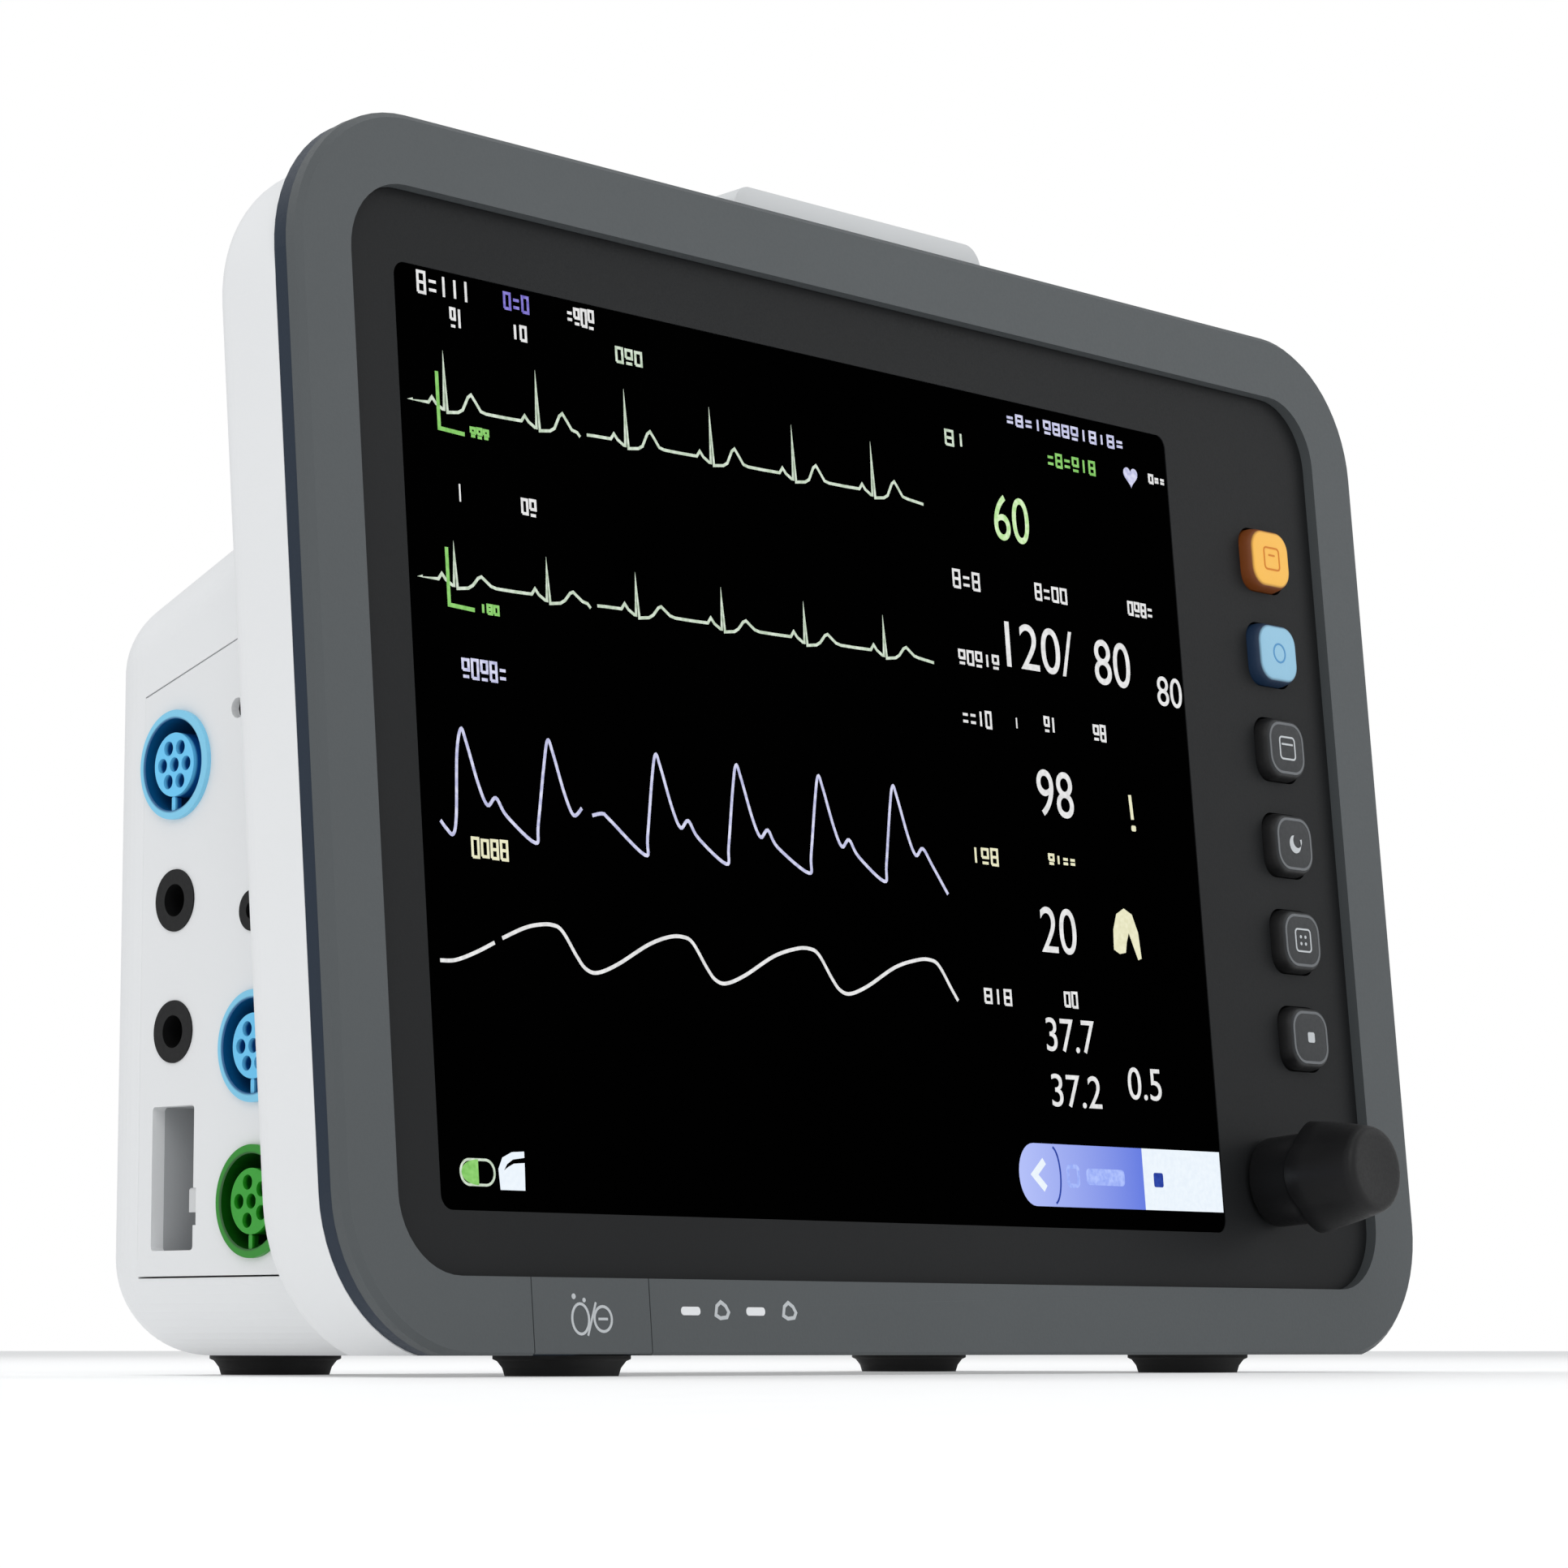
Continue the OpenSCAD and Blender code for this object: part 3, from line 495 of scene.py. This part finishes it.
# ---- screen ---------------------------------------------------------------
SCREEN_LOW = GLASS - 0.12
SCREEN_HIGH = GLASS + 0.06
FIRST_BEAT = 8.8
BEAT_PITCH = 25.55
HEART_WIDTH = 0.62
PULSE_WIDTH = 0.72
BREATH_WIDTH = 0.75
MINT = light("trace_mint", srgb(222, 234, 218), srgb(186, 204, 180))
GREEN = light("mark_green", srgb(150, 214, 120), srgb(126, 194, 98))
LAVENDER = light("trace_lavender", srgb(222, 223, 246), srgb(184, 186, 222))
WHITE = light("trace_white", srgb(240, 240, 240), srgb(218, 218, 218))
CREAM = light("trace_cream", srgb(240, 238, 206), srgb(228, 226, 190))
LIT_WHITE = light("button_white", srgb(240, 248, 255), srgb(234, 243, 252))
LIME = light("number_lime", srgb(222, 246, 200), srgb(180, 226, 150))
VIOLET = light("label_violet", srgb(150, 140, 220), srgb(110, 100, 190))
SOFT_BLUE = light("button_blue", srgb(178, 196, 255), srgb(150, 170, 245))
DEEP_BLUE = light("square_blue", srgb(50, 76, 170), srgb(40, 60, 150))
BUTTON_BLUE = light_slope("button_slope", srgb(182, 194, 250), srgb(104, 126, 226), 28, 72)


def on_screen(name, bm, material):
    add(name, bm, FACE, "monitor", material)


def stroke(bm, path, width, closed=False):
    ribbon(bm, path, width, SCREEN_LOW, SCREEN_HIGH, closed)


def fill(bm, outline):
    prism(bm, outline, SCREEN_LOW, SCREEN_HIGH)


def beat(x, base, r_height, t_height):
    """One heart beat round the time x."""
    shape = [(-9.6, -0.1), (-4.6, 0.0), (-3.6, 1.2), (-2.6, 0.1), (-0.9, -0.8), (-0.4, -0.8)]
    shape += [(0, r_height), (0.5, -1.3), (3.4, -0.9), (4.7, -0.2), (6.3, t_height * 0.8)]
    shape += [(7.2, t_height), (8.3, t_height * 0.6), (9.7, 0.2), (11.2, -0.1)]
    return [(x + dx, base + dy) for dx, dy in shape]


def heart_trace(name, base, r_height, t_height, x0, x1):
    """Six beats with a gap after the second, and the scale mark at their left."""
    beats = [x0 + FIRST_BEAT + BEAT_PITCH * i for i in range(6)]
    bm = bmesh.new()
    first = [(x0, base)]
    for x in beats[:2]:
        first += beat(x, base, r_height, t_height)
    stroke(bm, first + [(beats[1] + 12.0, base - 0.9)], HEART_WIDTH)
    second = [(beats[1] + 14.0, base - 0.2)]
    for x in beats[2:]:
        second += beat(x, base, r_height, t_height)
    stroke(bm, second + [(x1, base - 0.6)], HEART_WIDTH)
    on_screen(name, bm, MINT)
    mark = bmesh.new()
    corner = [(x0 + 6.8, base + 6.6), (x0 + 6.8, base - 4.8), (x0 + 13.6, base - 5.1)]
    ribbon(mark, corner, 0.8, SCREEN_LOW, SCREEN_HIGH + 0.05)
    on_screen(name + "_scale", mark, GREEN)


def pulse_trace():
    peaks = [-132.9, -109.1, -78.3, -54.3, -28.9, -5.0]
    lows = [-136.4, -114.1, -83.1, -59.1, -33.8, -9.8]
    bm = bmesh.new()
    parts = [[(-139.6, 102.6), (-138.2, 101.2)], [(-97.6, 107.0), (-94.6, 107.6), (-92.8, 106.6)]]
    for i, (low, peak) in enumerate(zip(lows, peaks)):
        part = parts[0 if i < 2 else 1]
        part += [(low, 100.2), (low + 1.1, 104), (peak - 1.4, 116), (peak, 121), (peak + 1.3, 118.5)]
        part += [(peak + 4.0, 110.5), (peak + 6.2, 106.6), (peak + 8.6, 108.2)]
        if i != 1:
            part += [(peak + 11.4, 104.8)]
    parts[1] += [(11.0, 98.9)]
    for part in parts:
        stroke(bm, smooth_path(part, 6), PULSE_WIDTH)
    on_screen("pulse_trace", bm, LAVENDER)


def breath_trace():
    crests = [-110.8, -73.4, -35.2, 3.4]
    first = [(-141.6, 75.5), (-137.5, 75.8), (-132, 77.6), (-126.8, 79.8)]
    second = [(-124.6, 80.8), (-119, 83.0)]
    for x in crests:
        second += [(x - 4.2, 84.0), (x, 84.3), (x + 2.9, 83.2), (x + 6.6, 78.4)]
        if x < 0:
            second += [(x + 9.0, 76.1), (x + 12.2, 75.6), (x + 18, 77.6), (x + 27, 82.0)]
    second += [(11.9, 76.0)]
    bm = bmesh.new()
    stroke(bm, smooth_path(first, 6), BREATH_WIDTH)
    stroke(bm, smooth_path(second, 6), BREATH_WIDTH)
    on_screen("breath_trace", bm, WHITE)


def stretched(value, values, middle, size):
    """A value moved so that the range of values has a given middle and size."""
    return middle + ((value - min(values)) / (max(values) - min(values)) - 0.5) * size


def number(name, words, x, v, w, h, material):
    """Number on the screen, fitted to a width and a height."""
    curve = bpy.data.curves.new(name + "_text", "FONT")
    curve.body = words
    curve.extrude = 0.01
    helper = bpy.data.objects.new(name + "_text", curve)
    bpy.context.scene.collection.objects.link(helper)
    bpy.context.view_layer.update()
    graph = bpy.context.evaluated_depsgraph_get()
    mesh = bpy.data.meshes.new_from_object(helper.evaluated_get(graph))
    bpy.data.objects.remove(helper)
    bm = bmesh.new()
    bm.from_mesh(mesh)
    bmesh.ops.remove_doubles(bm, verts=bm.verts, dist=0.0001)
    xs = [p.co.x for p in bm.verts]
    ys = [p.co.y for p in bm.verts]
    for p in bm.verts:
        p.co.x = stretched(p.co.x, xs, x, w)
        p.co.y = stretched(p.co.y, ys, v, h)
        p.co.z = SCREEN_HIGH if p.co.z > 0 else SCREEN_LOW
    on_screen(name, bm, material)


# name, digits, middle x, middle height, width, height, colour
NUMBERS = [
    ("number_heart_rate", "60", 42.2, 185.2, 12.2, 10.4, LIME),
    ("number_high", "120/", 48.8, 156.5, 23.6, 10.4, WHITE),
    ("number_low", "80", 74.9, 156.0, 13.0, 10.4, WHITE),
    ("number_mean", "80", 95.6, 151.6, 9.2, 6.9, WHITE),
    ("number_oxygen", "98", 50.6, 124.1, 12.6, 10.4, WHITE),
    ("number_breath", "20", 48.2, 93.4, 12.4, 10.2, WHITE),
    ("number_warm_1", "37.7", 49.7, 70.3, 17, 7.4, WHITE),
    ("number_warm_2", "37.2", 50.4, 58.1, 17.4, 7.2, WHITE),
    ("number_warm_3", "0.5", 75.0, 60.7, 12, 7.2, WHITE),
]

# middle x, middle height, width, height, count of marks, colour
LABELS = [
    (-131.2, 209.3, 15.2, 4.2, 5, WHITE), (-111.1, 209.4, 7.6, 3.8, 3, VIOLET),
    (-92.8, 209.4, 8.2, 3.6, 4, WHITE), (-128.2, 203.5, 3.6, 3.8, 2, WHITE),
    (-110.7, 203.3, 4.6, 3.2, 2, WHITE), (-79.1, 203.3, 8.4, 3.2, 3, MINT),
    (-129.7, 168.1, 1.2, 3.8, 1, WHITE), (-110.7, 167.7, 4.6, 3.2, 2, WHITE),
    (-125.6, 133.2, 12.6, 4, 5, LAVENDER), (-126.7, 98.0, 10.4, 3.8, 4, CREAM),
    (24.4, 201.0, 8, 3.4, 2, MINT), (64.1, 208.4, 43, 2.7, 13, LAVENDER),
    (65.4, 201.1, 18, 3.4, 6, GREEN), (97.0, 201.6, 6.4, 2, 3, WHITE),
    (24.8, 169.3, 10, 3.8, 3, WHITE), (54.4, 169.7, 12, 3.6, 4, WHITE),
    (86.9, 169.8, 9.6, 3.4, 4, WHITE), (27.2, 151.9, 14.4, 3, 5, WHITE),
    (25.1, 138.6, 10.5, 3.8, 4, WHITE), (38.8, 138.9, 1.2, 2.8, 1, WHITE),
    (50.6, 139.7, 4.6, 3.6, 2, WHITE), (68.3, 139.5, 5, 3.6, 2, WHITE),
    (24.5, 108.2, 9.6, 3.4, 3, CREAM), (51.3, 109.3, 10, 2.2, 4, CREAM),
    (25.5, 77.6, 10, 3.4, 3, WHITE), (50.8, 78.3, 5.2, 3.2, 2, WHITE),
    (-123.4, 180.9, 5.4, 1.8, 3, GREEN), (-123.2, 145.6, 5.4, 1.8, 3, GREEN),
]


def mark_shape(kind, w, h):
    """Bars, boxes and dashes that stand in for small print."""
    a, b = w / 2, h / 2
    box = [(-a, -b), (-a, b), (a, b), (a, -b), (-a, -b + 0.01)]
    cap = [(-a, -0.2 * b), (-a, b), (a, b), (a, -0.2 * b), (-a, -0.2 * b + 0.01)]
    shapes = [
        [[(0, -b), (0, b)]],
        [box],
        [box, [(-a, 0), (a, 0)]],
        [[(-a, -b * 0.6), (a, -b * 0.6)], [(-a, b * 0.3), (a, b * 0.3)]],
        [cap, [(-a, -b), (a, -b)]],
    ]
    return shapes[kind]


def labels():
    rng = random.Random(7)
    groups = {}
    for x, v, w, h, count, material in LABELS:
        bm = groups.setdefault(material.name, (bmesh.new(), material))[0]
        pitch = w / count
        for i in range(count):
            kind = rng.randrange(5) if count > 1 else 0
            width = max(pitch * 0.62, 0.3)
            centre = x - w / 2 + pitch * (i + 0.5)
            for path in mark_shape(kind, width, h * rng.uniform(0.82, 1)):
                stroke(bm, moved(path, centre, v), min(0.6, pitch * 0.32))
    for name, (bm, material) in groups.items():
        on_screen("print_" + name, bm, material)


def heart_outline(x, v, w):
    points = []
    for i in range(32):
        a = 2 * math.pi * i / 32
        px = 16 * math.sin(a) ** 3
        py = 13 * math.cos(a) - 5 * math.cos(2 * a) - 2 * math.cos(3 * a) - math.cos(4 * a)
        points.append((x + px * w / 32, v + py * w / 32))
    return points


def screen_icons():
    bm = bmesh.new()
    fill(bm, heart_outline(87.2, 201.2, 5.2))
    on_screen("heart_icon", bm, LAVENDER)
    bm = bmesh.new()
    stroke(bm, [(77.6, 126.2), (78.0, 120.6)], 1.0)
    fill(bm, moved(rounded(1.6, 1.3, 0.4, 3), 78.2, 118.6))
    lungs = [(67.6, 90.5), (67.9, 95.0), (69.4, 98.6), (72.2, 100.0), (75.0, 98.8), (76.8, 94.8)]
    lungs += [(77.4, 89.0), (76.2, 88.6), (74.4, 92.4), (73.4, 94.6), (72.4, 92.4), (71.8, 90.0)]
    lungs += [(69.6, 89.6)]
    fill(bm, lungs)
    on_screen("breath_icon", bm, CREAM)


def pill_icon():
    bm = bmesh.new()
    x, v, w, h = -134.6, 35.4, 9.0, 4.8
    left = [p for p in ellipse(w, h * 1.02, 36) if p[0] <= 0.01]
    fill(bm, moved(left, x + 0.2, v))
    on_screen("pill_fill", bm, GREEN)
    bm = bmesh.new()
    ribbon(bm, moved(rounded(w, h, h / 2 - 0.05), x, v), 0.5, SCREEN_LOW, SCREEN_HIGH - 0.02, True)
    on_screen("pill_outline", bm, MINT)
    bm = bmesh.new()
    body = [(-3.3, -3.6), (-3.6, 0.4), (-2.4, 2.6), (0.2, 3.7), (3.5, 3.9), (3.5, 2.7), (0.4, 2.3)]
    body += [(-1.2, 1.4), (-2.2, 0.1), (-0.8, 0.9), (0.6, 1.5), (3.5, 1.7), (3.3, -3.6)]
    fill(bm, moved(body, -125.4, 35.8))
    on_screen("panel_icon", bm, LIT_WHITE)


BAR_LEFT = 28.4
BAR_SPLIT = 72.0
BAR_RIGHT = 100.6
BAR_LOW = 32.7
BAR_TOP = 46.3
BAR_HIGH = SCREEN_HIGH - 0.04


def button_bar():
    middle = (BAR_LOW + BAR_TOP) / 2
    radius = (BAR_TOP - BAR_LOW) / 2
    bm = bmesh.new()
    turns = [math.radians(a) for a in range(0, 181, 12)]
    cap = [(BAR_LEFT + radius * (1 - math.sin(a)) * 0.8, middle + radius * math.cos(a)) for a in turns]
    prism(bm, cap + [(BAR_SPLIT, BAR_LOW), (BAR_SPLIT, BAR_TOP)], SCREEN_LOW, BAR_HIGH)
    on_screen("button_bar_blue", bm, BUTTON_BLUE)
    bm = bmesh.new()
    right = [(BAR_SPLIT, BAR_LOW), (BAR_RIGHT, BAR_LOW), (BAR_RIGHT, BAR_TOP), (BAR_SPLIT, BAR_TOP)]
    prism(bm, right, SCREEN_LOW, BAR_HIGH)
    stroke(bm, [(37.2, middle + 3.0), (33.6, middle), (37.2, middle - 3.0)], 1.7)
    on_screen("button_bar_white", bm, LIT_WHITE)
    bm = bmesh.new()
    fill(bm, moved(rounded(3.4, 3.2, 0.5, 4), 77.4, 39.4))
    stroke(bm, moved(arc(2.6, 6.2, -80, 81, 10), 40.0, middle), 0.5)
    on_screen("button_marks", bm, DEEP_BLUE)
    bm = bmesh.new()
    fill(bm, moved(rounded(13.5, 3.6, 1, 4), 58.4, middle))
    stroke(bm, moved(rounded(3.6, 4.2, 0.8, 4), 47.0, middle), 0.9, True)
    on_screen("button_text", bm, SOFT_BLUE)


def screen_content():
    heart_trace("heart_trace_1", 185.2, 10.4, 3.2, -141.2, 11.9)
    heart_trace("heart_trace_2", 150.1, 7.4, 1.8, -141.0, 11.7)
    pulse_trace()
    breath_trace()
    for row in NUMBERS:
        number(*row)
    labels()
    screen_icons()
    pill_icon()
    button_bar()


# ---- keys and knob --------------------------------------------------------
KEY_W = 16.0
KEY_H = 14.8
KEY_R = 5.2
# growth of the outline and distance out of the face, from the skirt to the top
KEY_PROFILE = [(1.2, -5.6), (1.2, -4.6), (0.0, -4.5), (0.0, -2.4), (-0.3, -0.9), (-0.62, -0.1), (-0.95, 0.3),
               (-1.4, 0.5), (-2.1, 0.6), (-3.6, 0.67), (-5.4, 0.7)]


def key_cap(index):
    """Soft key with rounded edges and a slightly crowned top."""
    bm = bmesh.new()
    rings = []
    for grow, out in KEY_PROFILE:
        outline = rounded(KEY_W + 2 * grow, KEY_H + 2 * grow, max(KEY_R + grow, 0.8), 10)
        rings.append([(x + KEY_X, y + KEY_V[index], out) for x, y in outline])
    loft(bm, rings)
    slot = KEY_SLOTS[index]
    piece = add(KEY_NODES[index] + "_cap", bm, FACE, KEY_BODIES[index], MATERIALS[slot], True)
    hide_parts(KEY_NODES[index])


PRINT = plastic("print_grey", srgb(196, 200, 203), 0.5, 900, 0.1, 0.06, 0.3)
# Painted highlight: a lighter grey ring stands in for the lit raised rim of each dark key.
RIM_HIGHLIGHT_PRINT = plastic("rim_highlight_grey", srgb(104, 107, 110), 0.45, 900, 0.1, 0.08, 0.3)
ORANGE_PRINT = plastic("orange_print", srgb(214, 128, 30), 0.5, 900, 0.1, 0.06, 0.3)
BLUE_PRINT = plastic("blue_print", srgb(84, 150, 200), 0.5, 900, 0.1, 0.06, 0.3)
KEY_TOP = 0.62


def print_on_key(name, index, strokes, fills, material, width=0.5, lift=0.16):
    bm = bmesh.new()
    for path, closed in strokes:
        ribbon(bm, moved(path, KEY_X, KEY_V[index]), width, KEY_TOP - 0.3, KEY_TOP + lift, closed)
    for outline in fills:
        prism(bm, moved(outline, KEY_X, KEY_V[index]), KEY_TOP - 0.3, KEY_TOP + lift)
    add(name, bm, FACE, KEY_BODIES[index], material)


def crescent():
    outer = arc(2.2, 2.2, 120, 391, 15)
    inner = moved(arc(1.7, 1.7, 375, 134, -15), 0.9, 0.8)
    return outer + inner


def key_prints():
    box = (rounded(5.8, 5.2, 0.9, 4), True)
    for index in range(2, 6):
        # Flat grey band in place of the raised rim: painted highlight of the rim.
        ring = (rounded(KEY_W - 3.4, KEY_H - 3.2, 3.9, 8), True)
        print_on_key(KEY_NODES[index] + "_ring", index, [ring], [], RIM_HIGHLIGHT_PRINT, 0.6, 0.02)
    print_on_key("key_1_icon", 0, [box, ([(-1.2, 0.8), (1.2, 0.8)], False)], [], ORANGE_PRINT, 0.4)
    print_on_key("key_2_icon", 1, [(ellipse(4.4, 4.4), True)], [], BLUE_PRINT, 0.4)
    print_on_key("key_3_icon", 2, [box, ([(-2.2, 0.9), (2.2, 0.9)], False)], [], PRINT, 0.42)
    print_on_key("key_4_icon", 3, [], [crescent()], PRINT)
    dots = [moved(ellipse(0.8, 0.8, 10), x, y) for x in (-0.9, 0.9) for y in (-0.8, 0.8)]
    print_on_key("key_5_icon", 4, [box], dots, PRINT, 0.4)
    print_on_key("key_6_icon", 5, [], [rounded(2.6, 2.4, 0.5, 4)], PRINT)


GROOVE_DEPTH = 2.3
# distance out of the face, radius, and how much of the groove's depth there is
KNOB_PROFILE = [
    (-1.4, 10.0, 0), (-0.9, 10.2, 0), (8.4, 10.25, 0), (9.1, 10.8, 0.35), (9.6, 12.0, 0.8),
    (10.4, 12.7, 1), (14.0, 12.2, 1), (18.0, 11.5, 0.75), (21.6, 10.8, 0.4), (24.2, 10.2, 0.15), (25.8, 9.8, 0),
    (26.6, 9.3, 0), (26.95, 8.6, 0), (27.0, 7.8, 0), (26.8, 5.0, 0), (26.7, 2.5, 0),
]


def lobe(angle):
    """0 in a finger groove and 1 between two of them."""
    return (0.5 + 0.5 * math.cos(4 * angle)) ** 0.8


def knob():
    bm = bmesh.new()
    rings = []
    for out, radius, lobes in KNOB_PROFILE:
        ring = []
        for i in range(144):
            a = 2 * math.pi * i / 144
            r = radius - lobes * GROOVE_DEPTH * (1 - lobe(a))
            ring.append((KNOB_X + r * math.cos(a), KNOB_V + r * math.sin(a), out))
        rings.append(ring)
    loft(bm, rings)
    piece = add("knob_grip", bm, FACE, "knob", MATERIALS["knob"], True)
    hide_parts("knob_cap")


RIB_DROP = 7.7


def socket_ribs():
    """Key rib of each round socket, between its insert and its rim."""
    for name, slot in (("ecg", "insert_blue"), ("spo2", "insert_blue"), ("pressure", "insert_green")):
        low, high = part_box(name + "_socket")
        middle = WALL.inverted() @ ((Vector(low) + Vector(high)) / 2)
        bm = bmesh.new()
        rib = rounded(1.1, 2.8, 0.3, 3)
        prism(bm, moved(rib, middle.x / MM, middle.y / MM - RIB_DROP), -1.0, 0.5)
        add(name + "_rib", bm, WALL, "monitor", MATERIALS[slot])


# ---- prints on the bezel and the painted shade of the slot in the side -----
PRINT_HIGH = 0.06
PRINT_LOW = -0.3
SCREW_PLACE = (19.1, 36.2)


def power_marks():
    low = PRINT_LOW
    high = PRINT_HIGH
    bm = bmesh.new()
    ribbon(bm, moved(ellipse(4.6, 5.8), -111.8, 7.6), 0.55, low, high, True)
    ribbon(bm, moved(ellipse(4.8, 4.8), -105.6, 7.6), 0.55, low, high, True)
    ribbon(bm, [(-110.0, 4.4), (-107.4, 10.8)], 0.5, low, high)
    ribbon(bm, [(-106.9, 7.6), (-104.3, 7.6)], 0.5, low, high)
    prism(bm, moved(ellipse(1.1, 1.1, 14), -113.4, 11.9), low, high)
    prism(bm, moved(ellipse(0.9, 0.9, 14), -110.6, 11.2), low, high)
    add("power_marks", bm, FACE, "power_button", PRINT)


def screw_slot_shade():
    """Black curved strip in the small recess of the side panel: painted shade of a screw slot."""
    bm = bmesh.new()
    hook = [(0.7, 1.5), (-0.2, 0.9), (-0.5, 0.0), (-0.2, -0.9), (0.5, -1.5)]
    # Painted shade: a black strip set into the recess where the slot's hollow is.
    ribbon(bm, moved(hook, *SCREW_PLACE), 0.9, -1.9, -1.0)
    add("screw_slot_shade", bm, WALL, "monitor", MATERIALS["jack"])


def indicator_marks():
    bm = bmesh.new()
    loop = [(-1.9, -0.9), (-1.5, 0.9), (-0.3, 1.7), (1.1, 0.9), (1.9, -0.3), (1.3, -1.3), (-0.6, -1.5)]
    for x in (-71.6, -51.6):
        ribbon(bm, moved(loop, x, 9.4), 0.75, PRINT_LOW, PRINT_HIGH, True)
    add("bezel_marks", bm, FACE, "monitor", PRINT)


# ---- edges of the CAD pieces ----------------------------------------------
def soften(node, width, segments=3, angle=35):
    """Rounds a CAD piece's sharp edges."""
    modifier = NODES[node].modifiers.new("soft_edges", "BEVEL")
    modifier.width = width * MM
    modifier.segments = segments
    modifier.limit_method = "ANGLE"
    modifier.angle_limit = math.radians(angle)
    modifier.use_clamp_overlap = True


# ---- scene ----------------------------------------------------------------
LENS = 111.13
CAMERA_PLACE = (-0.78044, -0.7006, 0.00525)
CAMERA_TURN = (96.658, 0, -48.25)
AIM = Vector((0, 0, 0.12))
FLOOR_HALF = 9000
# name, place, size, watts
LIGHTS = [
    ("key_light", (-1.5, -1.3, 1.5), 1.6, 13),
    ("fill_light", (1.5, -1.3, 1.1), 1.6, 7),
    ("top_light", (0.1, 0.4, 1.8), 1.6, 7),
    ("back_light", (-0.6, 1.7, 1.2), 1.4, 3.5),
]


def camera():
    data = bpy.data.cameras.new("camera")
    data.lens = LENS
    data.sensor_width = 36
    view = bpy.data.objects.new("camera", data)
    view.location = CAMERA_PLACE
    view.rotation_euler = [math.radians(a) for a in CAMERA_TURN]
    bpy.context.scene.collection.objects.link(view)
    bpy.context.scene.camera = view


def area(name, place, size, watts):
    data = bpy.data.lights.new(name, "AREA")
    data.size = size
    data.energy = watts
    lamp = bpy.data.objects.new(name, data)
    lamp.location = place
    lamp.rotation_euler = (AIM - Vector(place)).to_track_quat("-Z", "Y").to_euler()
    bpy.context.scene.collection.objects.link(lamp)


def world():
    made = bpy.data.worlds.new("studio")
    made.use_nodes = True
    tree = made.node_tree
    output = tree.nodes["World Output"]
    seen = tree.nodes["Background"]
    seen.inputs["Color"].default_value = (1, 1, 1, 1)
    seen.inputs["Strength"].default_value = 1
    lit = tree.nodes.new("ShaderNodeBackground")
    lit.inputs["Color"].default_value = (0.97, 0.985, 1, 1)
    lit.inputs["Strength"].default_value = 0.62
    path = tree.nodes.new("ShaderNodeLightPath")
    mix = tree.nodes.new("ShaderNodeMixShader")
    tree.links.new(path.outputs["Is Camera Ray"], mix.inputs["Fac"])
    tree.links.new(lit.outputs["Background"], mix.inputs[1])
    tree.links.new(seen.outputs["Background"], mix.inputs[2])
    tree.links.new(mix.outputs["Shader"], output.inputs["Surface"])
    bpy.context.scene.world = made
    bpy.context.scene.view_settings.view_transform = "Standard"


def floor():
    bm = bmesh.new()
    bmesh.ops.create_grid(bm, x_segments=1, y_segments=1, size=FLOOR_HALF)
    mesh = bpy.data.meshes.new("floor")
    bm.to_mesh(mesh)
    bm.free()
    mesh.transform(Matrix.Scale(MM, 4))
    paint = plastic("floor_paint", srgb(244, 244, 244), 0.6, 60, 0.05, 0.004, 0.1)
    glow = paint.node_tree.nodes["Principled BSDF"]
    glow.inputs["Emission Color"].default_value = (1, 1, 1, 1)
    glow.inputs["Emission Strength"].default_value = 0.16
    mesh.materials.append(paint)
    piece = bpy.data.objects.new("floor", mesh)
    bpy.context.scene.collection.objects.link(piece)


def studio():
    camera()
    world()
    floor()
    for row in LIGHTS:
        area(*row)


studio()
dress_nodes()
screen_content()
for key_index in range(6):
    key_cap(key_index)
key_prints()
knob()
socket_ribs()
power_marks()
screw_slot_shade()
indicator_marks()
EDGES = {"alarm_lamp": 0.8, "carry_handle": 1.2, "mains_inlet": 0.4, "port_plate": 0.25, "trap_latch": 0.2,
         "battery_door": 0.25, "earth_stud": 0.3}
for edge_node, edge_width in EDGES.items():
    soften(edge_node, edge_width)
